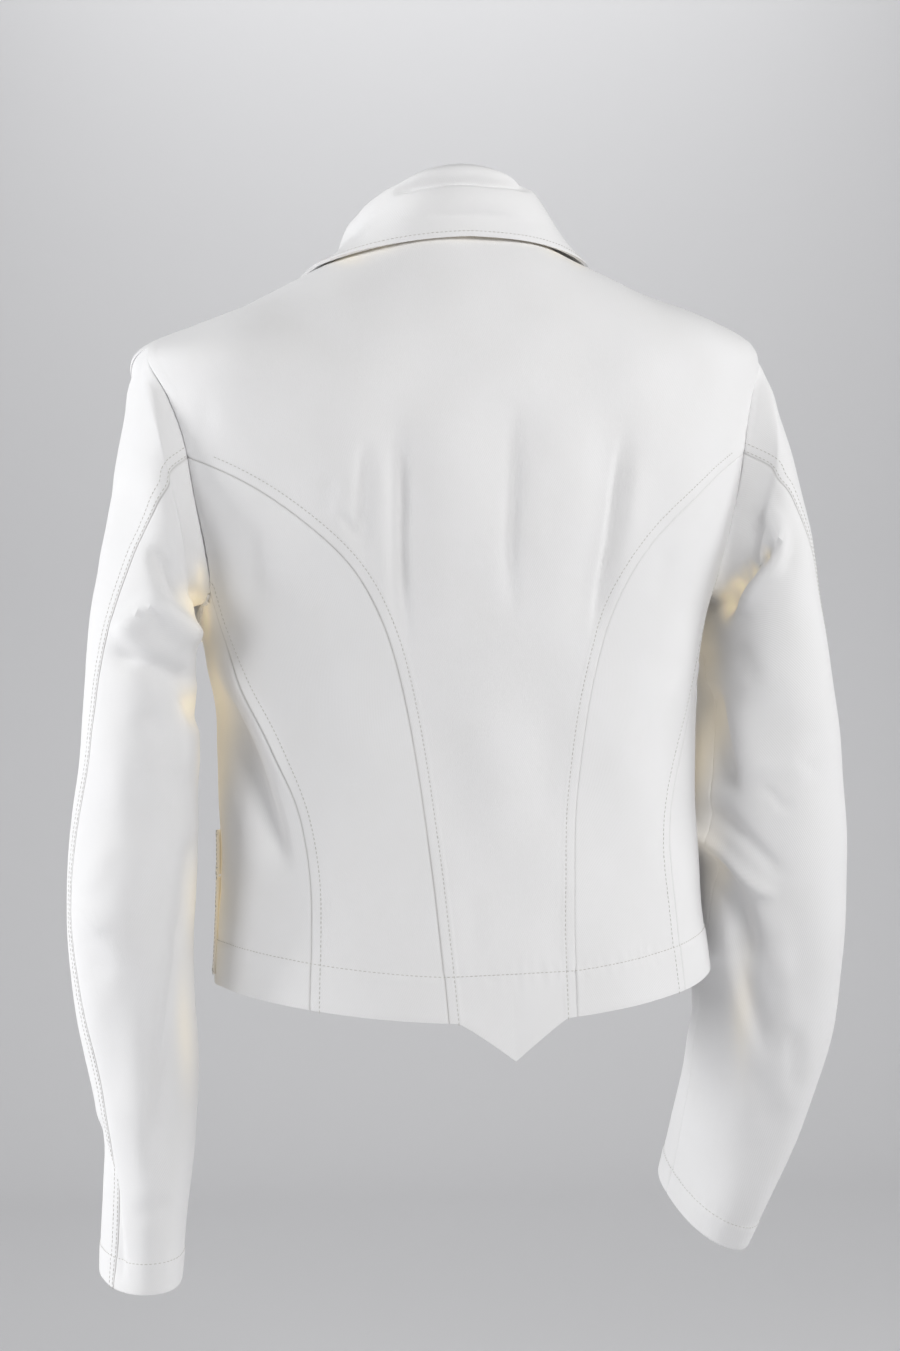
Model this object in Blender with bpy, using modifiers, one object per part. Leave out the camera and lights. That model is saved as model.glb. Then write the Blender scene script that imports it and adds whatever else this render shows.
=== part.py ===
"""Mess jacket in white cotton drill, as worn: a hollow garment of sewn cloth walls.

Metres, +Z up. The front faces -Y, the back +Y and the wearer's left is +X.
The origin is the middle of the neck opening, level with the nape seam.

The body is one surface of rings, read by an angle round the body and a level up it.
The angle is 0 at the middle of the back, 90 at the wearer's left side and 180 in front.
Each panel is a grid between its seams on that surface, with a wall inside it.
"""

import math
from collections import namedtuple

import bmesh
import bpy
import numpy as np

# Cloth and sewing
CLOTH = 0.0016
SEAM_GAP = 0.0003
LIE_GAP = 0.0008
COLLAR_CLOTH = 0.0020

# Body rings from the hem up, in metres. A ring passes through a back, a side and a front point.
Ring = namedtuple("Ring", "side_x side_y side_z back_y back_z front_y front_z")
BODY_RINGS = (
    Ring(0.1625, 0.000, -0.483, 0.112, -0.505, -0.112, -0.472),
    Ring(0.1590, 0.000, -0.430, 0.103, -0.437, -0.107, -0.425),
    Ring(0.1575, 0.000, -0.370, 0.097, -0.372, -0.104, -0.370),
    Ring(0.1600, 0.000, -0.310, 0.099, -0.310, -0.113, -0.312),
    Ring(0.1665, 0.000, -0.255, 0.107, -0.255, -0.127, -0.258),
    Ring(0.1835, 0.000, -0.203, 0.113, -0.203, -0.130, -0.206),
    Ring(0.1990, 0.002, -0.152, 0.112, -0.153, -0.116, -0.158),
    Ring(0.2050, 0.003, -0.110, 0.105, -0.112, -0.098, -0.122),
    Ring(0.2030, 0.003, -0.072, 0.093, -0.078, -0.084, -0.094),
    Ring(0.1330, -0.002, -0.041, 0.074, -0.036, -0.074, -0.070),
    Ring(0.0620, -0.006, -0.012, 0.054, 0.000, -0.066, -0.052),
)
NECK_LEVEL = len(BODY_RINGS) - 1
SQUARENESS = 2.3

# The wearer's left shoulder slopes a little lower between the tip and the neck
SHOULDER_DROP = 0.0050
DROP_REACH = 0.100
DROP_LEVELS = (7.0, 8.5)

# The hem's point in the middle of the back
POINT_DROP = 0.024
POINT_HALF = 0.036
POINT_REACH = 0.8

# Seams on the back: how far each lies from the middle of the back at a level
Station = namedtuple("Station", "level x")
PRINCESS_SEAM = (
    Station(0.00, 0.0420),
    Station(1.00, 0.0450),
    Station(2.00, 0.0500),
    Station(3.00, 0.0590),
    Station(3.90, 0.0720),
    Station(4.60, 0.0900),
    Station(5.10, 0.1130),
    Station(5.55, 0.1410),
    Station(5.90, 0.1660),
    Station(6.10, 0.1850),
)
SIDE_SEAM = (
    Station(0.00, 0.1230),
    Station(0.80, 0.1200),
    Station(1.40, 0.1190),
    Station(2.00, 0.1240),
    Station(2.60, 0.1360),
    Station(3.20, 0.1490),
    Station(3.80, 0.1590),
    Station(4.45, 0.1690),
)

# The armhole, from the shoulder tip down the back, under the arm and up the front
Stop = namedtuple("Stop", "level angle")
ARMHOLE = (
    Stop(8.00, 83.0),
    Stop(7.15, 69.0),
    Stop(6.10, 0.0),
    Stop(4.45, 0.0),
    Stop(4.50, 92.0),
    Stop(4.95, 108.0),
    Stop(6.10, 117.0),
    Stop(7.20, 107.0),
)
JUNCTION = 2
SIDE_STOP = 3
FRONT_SEAM_STOP = 5
BACK_STEPS = 6
SIDE_STEPS = 6
FRONT_STEPS = 15
SEAM_ROWS = 15

# Shoulder seam, neckline, roll line and front edge
SHOULDER_ANGLE = 83.0
SHOULDER_ROWS = 6
BACK_COLUMNS = 26
GORGE_ANGLE = 124.0
BREAK_LEVEL = 3.3
OVERLAP_LEFT = 5.0
OVERLAP_RIGHT = 8.0
LAP_LIFT = 0.0028
EDGE_ROWS = 17
FRONT_SPREAD = (0.0, 0.15, 0.30, 0.45, 0.59, 0.71, 0.81, 0.90, 1.0)
LAP_COLUMNS = 2
LAP_TOP = 4.4
LAP_FADE = 2.0

# Soft troughs of the back, from a top point to a low point seen from behind
Fold = namedtuple("Fold", "x_top z_top x_low z_low width depth")
BACK_FOLDS = (
    Fold(0.064, -0.135, 0.061, -0.250, 0.016, 0.0042),
    Fold(-0.010, -0.130, -0.008, -0.235, 0.018, 0.0026),
    Fold(-0.079, -0.137, -0.058, -0.250, 0.016, 0.0040),
)

# Sleeve rings: the outer and inner points seen from behind, the middle's y, half the depth
# from front to back, the tilt of that depth in degrees and how far the seams turn round the arm
Cuff = namedtuple("Cuff", "outer_x outer_z inner_x inner_z mid_y half_depth pitch turn")
LEFT_SLEEVE = (
    Cuff(0.2085, -0.092, 0.1805, -0.243, 0.002, 0.057, 0, 6),
    Cuff(0.2125, -0.110, 0.1795, -0.252, 0.003, 0.060, 0, 2),
    Cuff(0.2190, -0.142, 0.1780, -0.264, 0.004, 0.061, 0, -10),
    Cuff(0.2285, -0.191, 0.1765, -0.281, 0.005, 0.060, 0, -27),
    Cuff(0.2400, -0.250, 0.1755, -0.309, 0.004, 0.058, 0, -42),
    Cuff(0.2460, -0.316, 0.1755, -0.347, 0.002, 0.057, -2, -54),
    Cuff(0.2530, -0.370, 0.1765, -0.390, -0.001, 0.056, -4, -62),
    Cuff(0.2585, -0.424, 0.1770, -0.435, -0.006, 0.055, -5, -64),
    Cuff(0.2560, -0.478, 0.1765, -0.483, -0.012, 0.053, -6, -60),
    Cuff(0.2460, -0.527, 0.1765, -0.530, -0.018, 0.051, -6, -54),
    Cuff(0.2375, -0.576, 0.1785, -0.577, -0.024, 0.050, -6, -50),
    Cuff(0.2360, -0.624, 0.1835, -0.624, -0.030, 0.049, -6, -48),
    Cuff(0.2365, -0.671, 0.1880, -0.668, -0.035, 0.049, -6, -48),
)
RIGHT_SLEEVE = (
    Cuff(0.2130, -0.092, 0.1805, -0.243, 0.004, 0.057, 0, 6),
    Cuff(0.2185, -0.110, 0.1795, -0.252, 0.006, 0.060, 0, 2),
    Cuff(0.2270, -0.143, 0.1780, -0.264, 0.009, 0.061, 0, -10),
    Cuff(0.2375, -0.193, 0.1765, -0.284, 0.012, 0.060, 0, -26),
    Cuff(0.2450, -0.252, 0.1735, -0.313, 0.015, 0.059, 2, -40),
    Cuff(0.2530, -0.313, 0.1695, -0.350, 0.016, 0.058, 2, -50),
    Cuff(0.2590, -0.377, 0.1675, -0.392, 0.012, 0.058, -4, -56),
    Cuff(0.2635, -0.433, 0.1670, -0.436, 0.003, 0.057, -12, -56),
    Cuff(0.2650, -0.485, 0.1685, -0.480, -0.012, 0.055, -20, -52),
    Cuff(0.2630, -0.536, 0.1710, -0.524, -0.032, 0.053, -24, -48),
    Cuff(0.2540, -0.586, 0.1745, -0.569, -0.056, 0.051, -27, -46),
    Cuff(0.2410, -0.632, 0.1750, -0.612, -0.080, 0.050, -28, -46),
    Cuff(0.2280, -0.673, 0.1720, -0.652, -0.103, 0.050, -28, -46),
)
SLEEVE_ROWS = 28
SLEEVE_SQUARENESS = 2.15

# Collar: the stand rises from the neck seam, the fall turns over it and lies on the shoulders
STAND_BACK = 0.036
STAND_FRONT = 0.014
STAND_LEAN = 0.005
STAND_GAP = 0.0005
COLLAR_STEPS = 30
STAND_ROWS = 3
FallEdge = namedtuple("FallEdge", "angle left_level right_level clear")
FALL_EDGE = (
    FallEdge(0.0, 9.70, 9.70, 0.0070),
    FallEdge(35.0, 9.67, 9.66, 0.0060),
    FallEdge(70.0, 9.67, 9.55, 0.0055),
    FallEdge(95.0, 9.68, 9.52, 0.0055),
    FallEdge(112.0, 9.50, 9.34, 0.0055),
    FallEdge(GORGE_ANGLE, 9.14, 9.06, 0.0055),
)
FallRow = namedtuple("FallRow", "along bulge_back bulge_left bulge_right")
FALL_PROFILE = (
    FallRow(0.00, 0.0000, 0.0000, 0.0000),
    FallRow(0.08, 0.0046, 0.0016, 0.0036),
    FallRow(0.36, 0.0056, -0.0046, 0.0020),
    FallRow(0.68, 0.0030, -0.0042, 0.0000),
    FallRow(1.00, 0.0000, 0.0000, 0.0000),
)

# Lapel corners on the front: the roll line side and the outer side
LAPEL_EDGE = (
    Stop(8.55, 120.0),
    Stop(7.30, 121.0),
    Stop(6.10, 130.0),
    Stop(4.90, 150.0),
)
LAPEL_FOOT_WIDTH = 5.0
LAPEL_BREAK_LEFT = 4.15
LAPEL_BREAK_RIGHT = 3.55
LAPEL_TOP_ANGLE = 128.0
LAPEL_LIFT = 0.0014
LAPEL_ROWS = 12
LAPEL_STEPS = 5

# Patch pocket and its flap, low on each front
POCKET_ANGLES = (97.0, 135.0)
POCKET_LEVELS = (0.12, 1.25)
FLAP_ANGLES = (96.0, 136.0)
FLAP_LEVELS = (1.27, 1.76)
POCKET_STEPS = 8
POCKET_ROWS = 5
FLAP_ROWS = 2

# Front buttons
BUTTON_DIAMETER = 0.018
BUTTON_THICK = 0.0032
BUTTON_BEVEL = 0.0008
BUTTON_LEVELS = (2.90, 1.95, 1.00)
BUTTON_SIDES = 24

# Finishes: colour, roughness, metallic
WHITE_DRILL = (0.80, 0.80, 0.80), 0.85, 0.0
WHITE_BUTTON = (0.78, 0.77, 0.73), 0.35, 0.0

LEFT = 1
RIGHT = -1
SIDES = (("left", LEFT), ("right", RIGHT))


def blend_rows(rows, place):
    """Smooth values between the rows of a table, at a place counted in rows."""
    table = np.asarray(rows, dtype=float)
    last = len(table) - 1
    low = int(min(max(math.floor(place), 0), last - 1))
    part = place - low
    start, end = table[low], table[low + 1]
    before = table[low - 1] if low > 0 else 2 * start - end
    after = table[low + 2] if low + 2 <= last else 2 * end - start
    slope_in = (end - before) / 2
    slope_out = (after - start) / 2
    square, cube = part ** 2, part ** 3
    return (
        (2 * cube - 3 * square + 1) * start
        + (cube - 2 * square + part) * slope_in
        + (3 * square - 2 * cube) * end
        + (cube - square) * slope_out
    )


def blend_ring(rows, place):
    """The same between rows of a closed loop."""
    count = len(rows)
    low = math.floor(place)
    window = [rows[(low + step) % count] for step in (-1, 0, 1, 2)]
    return blend_rows(window, 1 + place - low)


def read_station(stations, level):
    """Distance of a seam from the middle of the back at a level."""
    levels = [station.level for station in stations]
    place = np.interp(level, levels, range(len(levels)))
    return blend_rows(stations, place)[1]


def super_radius(angle, squareness):
    """Radius of a rounded square of half width 1 at an angle in radians."""
    total = abs(math.sin(angle)) ** squareness + abs(math.cos(angle)) ** squareness
    return total ** (-1 / squareness)


def smooth_step(value):
    """0 below 0, 1 above 1 and smooth between."""
    value = min(max(value, 0.0), 1.0)
    return value * value * (3 - 2 * value)


def body_base(angle, level):
    """Point of the body surface without folds."""
    ring = Ring(*blend_rows(BODY_RINGS, level))
    turn = math.radians(angle)
    radius = super_radius(turn, SQUARENESS)
    across = radius * math.sin(turn)
    along = radius * math.cos(turn)
    end_y, end_z = (ring.back_y, ring.back_z) if along > 0 else (ring.front_y, ring.front_z)
    x = ring.side_x * across
    y = ring.side_y + (end_y - ring.side_y) * abs(along)
    z = ring.side_z + (end_z - ring.side_z) * math.cos(turn) ** 2
    if along > 0 and level < POINT_REACH:
        inside = max(0.0, 1 - abs(x) / POINT_HALF)
        z -= POINT_DROP * inside ** 1.15 * (1 - max(level, 0.0) / POINT_REACH) ** 1.5
    start, full = DROP_LEVELS
    fade = smooth_step((level - start) / (full - start)) * smooth_step(NECK_LEVEL - level)
    z -= SHOULDER_DROP * smooth_step(x / DROP_REACH) * fade
    return np.array((x, y, z))


def body_normal(angle, level):
    """Outward unit normal of the body surface."""
    step = 0.02
    low, high = max(level - step, 0.0), min(level + step, float(NECK_LEVEL))
    up = body_base(angle, high) - body_base(angle, low)
    round_ = body_base(angle + 0.5, level) - body_base(angle - 0.5, level)
    normal = np.cross(up, round_)
    normal /= np.linalg.norm(normal)
    outward = body_base(angle, level) - np.array((0.0, 0.0, -0.25))
    return normal if normal @ outward > 0 else -normal


def fold_depth(point):
    """How deep the folds of the back press in at a point."""
    if point[1] < 0:
        return 0.0
    depth = 0.0
    for fold in BACK_FOLDS:
        run = np.array((fold.x_low - fold.x_top, fold.z_low - fold.z_top))
        offset = np.array((point[0] - fold.x_top, point[2] - fold.z_top))
        along = (offset @ run) / (run @ run)
        beside = abs(offset[0] * run[1] - offset[1] * run[0]) / np.linalg.norm(run)
        fade = smooth_step((along + 0.25) / 0.5) * smooth_step((1.35 - along) / 0.6)
        depth += fold.depth * fade * math.exp(-(beside / fold.width) ** 2)
    return depth


def body_point(angle, level, lift=0.0):
    """Point of the outer cloth surface, moved out by lift."""
    base = body_base(angle, level)
    return base + body_normal(angle, level) * (lift - fold_depth(base))


def angle_at(x, level):
    """Angle on the back at which the body is x from the middle."""
    low, high = 0.0, 90.0
    for _ in range(40):
        middle = (low + high) / 2
        if body_base(middle, level)[0] < x:
            low = middle
        else:
            high = middle
    return (low + high) / 2


def seam_points(stations, count):
    """A back seam from the hem to the armhole, in even steps of length, as angle and level."""
    fine = np.linspace(stations[0].level, stations[-1].level, 8 * count + 1)
    places = [(angle_at(read_station(stations, level), level), level) for level in fine]
    points = np.array([body_base(angle, level) for angle, level in places])
    run = np.concatenate(([0.0], np.cumsum(np.linalg.norm(np.diff(points, axis=0), axis=1))))
    levels = np.interp(np.linspace(0, run[-1], count + 1), run, fine)
    return [(angle_at(read_station(stations, level), level), level) for level in levels]


def armhole_stops():
    """The armhole's stops, with those that end a back seam put on it."""
    stops = list(ARMHOLE)
    for index, stations in ((JUNCTION, PRINCESS_SEAM), (SIDE_STOP, SIDE_SEAM)):
        end = stations[-1]
        stops[index] = Stop(end.level, angle_at(end.x, end.level))
    return stops


def armhole_places():
    """Places round the armhole that the body panels and the sleeves share."""
    back = np.linspace(0, JUNCTION, BACK_STEPS + 1)
    side = np.linspace(JUNCTION, SIDE_STOP, SIDE_STEPS + 1)
    front = np.linspace(SIDE_STOP, len(ARMHOLE), FRONT_STEPS + 1)
    return list(back[:-1]) + list(side[:-1]) + list(front)


def armhole_domain():
    """The armhole as angle and level at each shared place."""
    stops = armhole_stops()
    result = []
    for place in armhole_places():
        level, angle = blend_ring(stops, place)
        result.append((angle, level))
    return result


def armhole_points(side):
    """Points of the armhole seam on one side of the body."""
    return np.array([body_point(side * angle, level) for angle, level in armhole_domain()])


def armhole_centre(side):
    """Middle of one armhole."""
    return armhole_points(side)[:-1].mean(axis=0)


def coons(bottom, top, left, right):
    """Angle and level grid between four edges, rows from bottom to top."""
    bottom, top, left, right = (np.asarray(edge, dtype=float) for edge in (bottom, top, left, right))
    rows, columns = len(left), len(bottom)
    v = np.linspace(0, 1, rows)[:, None, None]
    u = np.linspace(0, 1, columns)[None, :, None]
    ruled_up = (1 - v) * bottom[None] + v * top[None]
    ruled_across = (1 - u) * left[:, None] + u * right[:, None]
    corners = (1 - u) * (1 - v) * bottom[0] + u * (1 - v) * bottom[-1]
    corners = corners + (1 - u) * v * top[0] + u * v * top[-1]
    return ruled_up + ruled_across - corners


def line(start, end, steps):
    """Evenly spaced places on a straight line of angle and level."""
    return [tuple(pair) for pair in np.linspace(start, end, steps + 1)]


def curve(stops, steps):
    """Evenly spaced places on a smooth line through stops, as angle and level."""
    places = np.linspace(0, len(stops) - 1, steps + 1)
    rows = [blend_rows(stops, place) for place in places]
    return [(angle, level) for level, angle in rows]


def unit(vector):
    """A vector of length 1."""
    return vector / np.linalg.norm(vector)


def pull_in(grid, inward, column, rows=None):
    """Move the first or last column of a grid of points into its own surface, for the seam's gap."""
    moved = grid.copy()
    edge = grid[:, column]
    beside = grid[:, 1 if column == 0 else -2]
    chosen = set(range(len(edge)) if rows is None else rows)
    for index in chosen:
        before = index - 1 if index - 1 in chosen else index
        after = index + 1 if index + 1 in chosen else index
        across = unit(np.cross(edge[after] - edge[before], inward[index, column]))
        if across @ (beside[index] - edge[index]) < 0:
            across = -across
        moved[index, column] += across * SEAM_GAP / 2
    return moved


def make_material(name, finish):
    """A plain Principled material."""
    colour, roughness, metallic = finish
    material = bpy.data.materials.new(name)
    material.use_nodes = True
    shader = material.node_tree.nodes["Principled BSDF"]
    shader.inputs["Base Color"].default_value = (*colour, 1.0)
    shader.inputs["Roughness"].default_value = roughness
    shader.inputs["Metallic"].default_value = metallic
    return material


def new_object(name, mesh, finish, collection):
    """Link a mesh as a named object with its own material."""
    mesh.materials.append(make_material(f"{name}_finish", finish))
    mesh.shade_smooth()
    mesh.set_sharp_from_angle(angle=math.radians(40))
    item = bpy.data.objects.new(name, mesh)
    collection.objects.link(item)
    return item


def split(points, corners):
    """The two triangles of a four-sided face, split along its shorter diagonal."""
    a, b, c, d = corners
    if np.linalg.norm(points[a] - points[c]) <= np.linalg.norm(points[b] - points[d]):
        return [(a, b, c), (a, c, d)]
    return [(b, c, d), (b, d, a)]


def wall(name, outer, inward, collection, finish=WHITE_DRILL):
    """Closed cloth wall between a grid of outer points and the same points moved inward."""
    rows, columns = outer.shape[:2]
    inner = outer + inward
    points = np.concatenate((outer.reshape(-1, 3), inner.reshape(-1, 3)))
    count = rows * columns
    faces = []
    for row in range(rows - 1):
        for column in range(columns - 1):
            corner = row * columns + column
            for triangle in split(points, (corner, corner + 1, corner + columns + 1, corner + columns)):
                faces.append(triangle)
                faces.append([index + count for index in reversed(triangle)])
    rim = list(range(columns - 1))
    rim += [row * columns + columns - 1 for row in range(rows - 1)]
    rim += [count - 1 - column for column in range(columns - 1)]
    rim += [row * columns for row in range(rows - 1, 0, -1)]
    for here, there in zip(rim, rim[1:] + rim[:1]):
        faces += split(points, (there, here, here + count, there + count))
    mesh = bpy.data.meshes.new(name)
    mesh.from_pydata(points.tolist(), [], faces)
    turn_outward(mesh)
    return new_object(name, mesh, finish, collection)


def turn_outward(mesh):
    """Give the faces of a closed mesh normals that point out."""
    work = bmesh.new()
    work.from_mesh(mesh)
    bmesh.ops.recalc_face_normals(work, faces=work.faces)
    work.to_mesh(mesh)
    work.free()


def body_grid(domain, side, lift=0.0):
    """Outer points of a grid of angles and levels."""
    return np.array([[body_point(side * angle, level, lift) for angle, level in row] for row in domain])


def body_inward(domain, side, thickness=CLOTH):
    """Wall directions of a grid of angles and levels."""
    return np.array([[-body_normal(side * angle, level) * thickness for angle, level in row] for row in domain])


def toward(points, centre, thickness):
    """Wall directions that point to a centre, for the rim of an opening."""
    return np.array([unit(centre - point) * thickness for point in points])


def to_neck(points, thickness):
    """Level wall directions that point to the middle of the neck."""
    result = []
    for point in points:
        result.append(unit(np.array((-point[0], -0.006 - point[1], 0.0))) * thickness)
    return np.array(result)


def shoulder_seam():
    """The shoulder seam from the armhole up to the neck, as angle and level."""
    tip = armhole_domain()[0]
    return line(tip, (SHOULDER_ANGLE, NECK_LEVEL), SHOULDER_ROWS)


def build_back_centre(collection):
    """The back, cut in one with no centre seam and with a point at the hem."""
    princess = seam_points(PRINCESS_SEAM, SEAM_ROWS)
    armhole = armhole_domain()[:BACK_STEPS][::-1]
    left_side = princess + armhole + shoulder_seam()[1:]
    right_side = [(-angle, level) for angle, level in left_side]
    bottom = line(right_side[0], left_side[0], BACK_COLUMNS)
    top = line(right_side[-1], left_side[-1], BACK_COLUMNS)
    domain = coons(bottom, top, right_side, left_side)
    outer = body_grid(domain, LEFT)
    inward = body_inward(domain, LEFT)
    tip_row = SEAM_ROWS + BACK_STEPS
    armhole_rows = slice(SEAM_ROWS, tip_row + 1)
    seam_rows = list(range(SEAM_ROWS + 1)) + list(range(tip_row, len(domain)))
    outer = pull_in(outer, inward, -1, seam_rows)
    outer = pull_in(outer, inward, 0, seam_rows)
    for column, side in ((-1, LEFT), (0, RIGHT)):
        rim = outer[armhole_rows, column]
        inward[armhole_rows, column] = toward(rim, armhole_centre(side), CLOTH)
    inward[-1] = to_neck(outer[-1], CLOTH)
    wall("back_centre", outer, inward, collection)


def build_side_back(word, side, collection):
    """Curved panel between the princess seam and the side seam."""
    princess = seam_points(PRINCESS_SEAM, SEAM_ROWS)
    side_seam = seam_points(SIDE_SEAM, SEAM_ROWS)
    armhole = armhole_domain()[BACK_STEPS:BACK_STEPS + SIDE_STEPS + 1]
    bottom = line(princess[0], side_seam[0], SIDE_STEPS)
    domain = coons(bottom, armhole, princess, side_seam)
    outer = body_grid(domain, side)
    inward = body_inward(domain, side)
    outer = pull_in(outer, inward, 0)
    outer = pull_in(outer, inward, -1)
    inward[-1] = toward(outer[-1], armhole_centre(side), CLOTH)
    wall(f"side_back_{word}", outer, inward, collection)


def edge_angle(side):
    """Angle of a front's edge, past the middle of the front by its lap."""
    return 180.0 + (OVERLAP_LEFT if side == LEFT else OVERLAP_RIGHT)


def front_edge(side, rows):
    """Front edge and roll line of a front, from the hem up to the gorge, as angle and level."""
    edge = line((edge_angle(side), 0.0), (edge_angle(side), BREAK_LEVEL), EDGE_ROWS)
    return edge + roll_line(side, BREAK_LEVEL, rows - EDGE_ROWS)[1:]


def roll_line(side, start_level, steps):
    """Line along which the lapel turns back, from a level up to the gorge."""
    stops = (
        Stop(BREAK_LEVEL, edge_angle(side)),
        Stop(5.3, 167.0),
        Stop(7.6, 149.0),
        Stop(9.2, 133.0),
        Stop(float(NECK_LEVEL), GORGE_ANGLE),
    )
    start = np.interp(start_level, [stop.level for stop in stops], range(len(stops)))
    rows = [blend_rows(stops, place) for place in np.linspace(start, len(stops) - 1, steps + 1)]
    return [(angle, level) for level, angle in rows]


def front_domain(side):
    """Angle and level grid of a front."""
    side_seam = seam_points(SIDE_SEAM, SEAM_ROWS)
    armhole = armhole_domain()[BACK_STEPS + SIDE_STEPS:]
    left_edge = side_seam + armhole[1:] + shoulder_seam()[1:]
    right_edge = front_edge(side, len(left_edge) - 1)
    columns = len(FRONT_SPREAD) - 1
    bottom = line(left_edge[0], right_edge[0], columns)
    top = line(left_edge[-1], right_edge[-1], columns)
    even = coons(bottom, top, left_edge, right_edge)
    places = np.linspace(0, 1, columns + 1)
    spread = [[np.interp(FRONT_SPREAD, places, row[:, axis]) for axis in (0, 1)] for row in even]
    return np.array(spread).transpose(0, 2, 1)


def lap_lift(side, level):
    """How far the right front is lifted off the left one, up to where the fronts part."""
    if side == LEFT:
        return 0.0
    return LAP_LIFT * (1 - smooth_step((level - LAP_TOP) / LAP_FADE))


def build_front(word, side, collection):
    """A front, from the side seam and armhole to the lapped edge and the roll line."""
    domain = front_domain(side)
    outer = body_grid(domain, side)
    inward = body_inward(domain, side)
    for row, column in np.ndindex(len(domain), LAP_COLUMNS):
        lift = lap_lift(side, domain[row, -1 - column, 1])
        outer[row, -1 - column] -= unit(inward[row, -1 - column]) * lift
    tip_row = SEAM_ROWS + FRONT_STEPS
    armhole_rows = slice(SEAM_ROWS, tip_row + 1)
    seam_rows = list(range(SEAM_ROWS + 1)) + list(range(tip_row, len(domain)))
    outer = pull_in(outer, inward, 0, seam_rows)
    inward[armhole_rows, 0] = toward(outer[armhole_rows, 0], armhole_centre(side), CLOTH)
    inward[-1] = to_neck(outer[-1], CLOTH)
    wall(f"front_{word}", outer, inward, collection)


def sleeve_rings(rows, side):
    """Control points of a sleeve: the armhole, then one ring for each row of its table."""
    mirror = np.array((side, 1, 1))
    armhole = armhole_points(side) * mirror
    centre = armhole_centre(side) * mirror
    step = SEAM_GAP * armhole_axis(side) * mirror
    angles = [math.atan2(point[1] - centre[1], point[2] - centre[2]) for point in armhole]
    angles = np.unwrap(angles)
    rings = [armhole + step]
    for row in rows:
        middle = np.array(((row.outer_x + row.inner_x) / 2, row.mid_y, (row.outer_z + row.inner_z) / 2))
        across = np.array(((row.outer_x - row.inner_x) / 2, 0.0, (row.outer_z - row.inner_z) / 2))
        pitch = math.radians(row.pitch)
        depth = row.half_depth * np.array((0.0, math.cos(pitch), math.sin(pitch)))
        ring = []
        for angle in angles:
            turn = angle + math.radians(row.turn)
            radius = super_radius(turn, SLEEVE_SQUARENESS)
            ring.append(middle + radius * (across * math.cos(turn) + depth * math.sin(turn)))
        rings.append(np.array(ring))
    return np.array(rings) * mirror


def armhole_axis(side):
    """Unit direction out of one armhole."""
    points = armhole_points(side)
    centre = armhole_centre(side)
    total = np.zeros(3)
    for here, there in zip(points, points[1:]):
        total += np.cross(here - centre, there - centre)
    total = unit(total)
    return total if total[0] * side > 0 else -total


def sleeve_surface(rows, side):
    """Outer points of a whole sleeve and its wall directions, both closed round the arm."""
    rings = sleeve_rings(rows, side)
    places = np.linspace(0, len(rings) - 1, SLEEVE_ROWS + 1)
    outer = np.array([blend_rows(rings, place) for place in places])
    inward = np.zeros_like(outer)
    columns = outer.shape[1] - 1
    for row in range(len(outer)):
        low, high = max(row - 1, 0), min(row + 1, SLEEVE_ROWS)
        for column in range(columns + 1):
            along = outer[high, column] - outer[low, column]
            across = outer[row, (column + 1) % columns] - outer[row, (column - 1) % columns]
            normal = unit(np.cross(along, across))
            middle = outer[row, :-1].mean(axis=0)
            if normal @ (outer[row, column] - middle) > 0:
                normal = -normal
            inward[row, column] = normal * CLOTH
    inward[0] = toward(outer[0], armhole_centre(side), CLOTH)
    return outer, inward


def build_sleeve(word, side, rows, collection):
    """Top and under halves of a two-piece sleeve."""
    outer, inward = sleeve_surface(rows, side)
    columns = outer.shape[1] - 1
    back_seam = BACK_STEPS
    front_seam = BACK_STEPS + SIDE_STEPS + round(
        FRONT_STEPS * (FRONT_SEAM_STOP - SIDE_STOP) / (len(ARMHOLE) - SIDE_STOP))
    under = list(range(back_seam, front_seam + 1))
    top = [column % columns for column in range(front_seam, columns + back_seam + 1)]
    for name, chosen in (("top_sleeve", top), ("under_sleeve", under)):
        piece = pull_in(outer[:, chosen], inward[:, chosen], 0)
        piece = pull_in(piece, inward[:, chosen], -1)
        wall(f"{name}_{word}", piece, inward[:, chosen], collection)


def stand_height(angle):
    """Height of the collar stand at an angle round the neck."""
    share = abs(angle) / GORGE_ANGLE
    return STAND_BACK + (STAND_FRONT - STAND_BACK) * smooth_step(share)


def stand_point(angle, share, rise=0.0):
    """Outer point of the collar stand, a share of the way up from the neck seam."""
    foot = body_base(angle, NECK_LEVEL)
    outward = unit(np.array((foot[0], foot[1] + 0.006, 0.0)))
    height = stand_height(angle)
    lean = STAND_LEAN * height / STAND_BACK
    return foot - outward * lean * share + np.array((0.0, 0.0, STAND_GAP + height * share + rise))


def collar_angles():
    """Angles round the neck at which the collar pieces have their columns."""
    return np.linspace(-GORGE_ANGLE, GORGE_ANGLE, COLLAR_STEPS + 1)


def build_collar_stand(collection):
    """Band that stands up from the neck seam."""
    shares = np.linspace(0, 1, STAND_ROWS)
    outer = np.array([[stand_point(angle, share) for angle in collar_angles()] for share in shares])
    inward = np.array([to_neck(row, CLOTH) for row in outer])
    wall("collar_stand", outer, inward, collection)


def fall_edge_point(angle):
    """Lower edge of the collar fall, just off the body."""
    angles = [row.angle for row in FALL_EDGE]
    place = np.interp(abs(angle), angles, range(len(angles)))
    row = FallEdge(*blend_rows(FALL_EDGE, place))
    level = row.left_level if angle > 0 else row.right_level
    return body_point(angle, level, row.clear)


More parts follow.
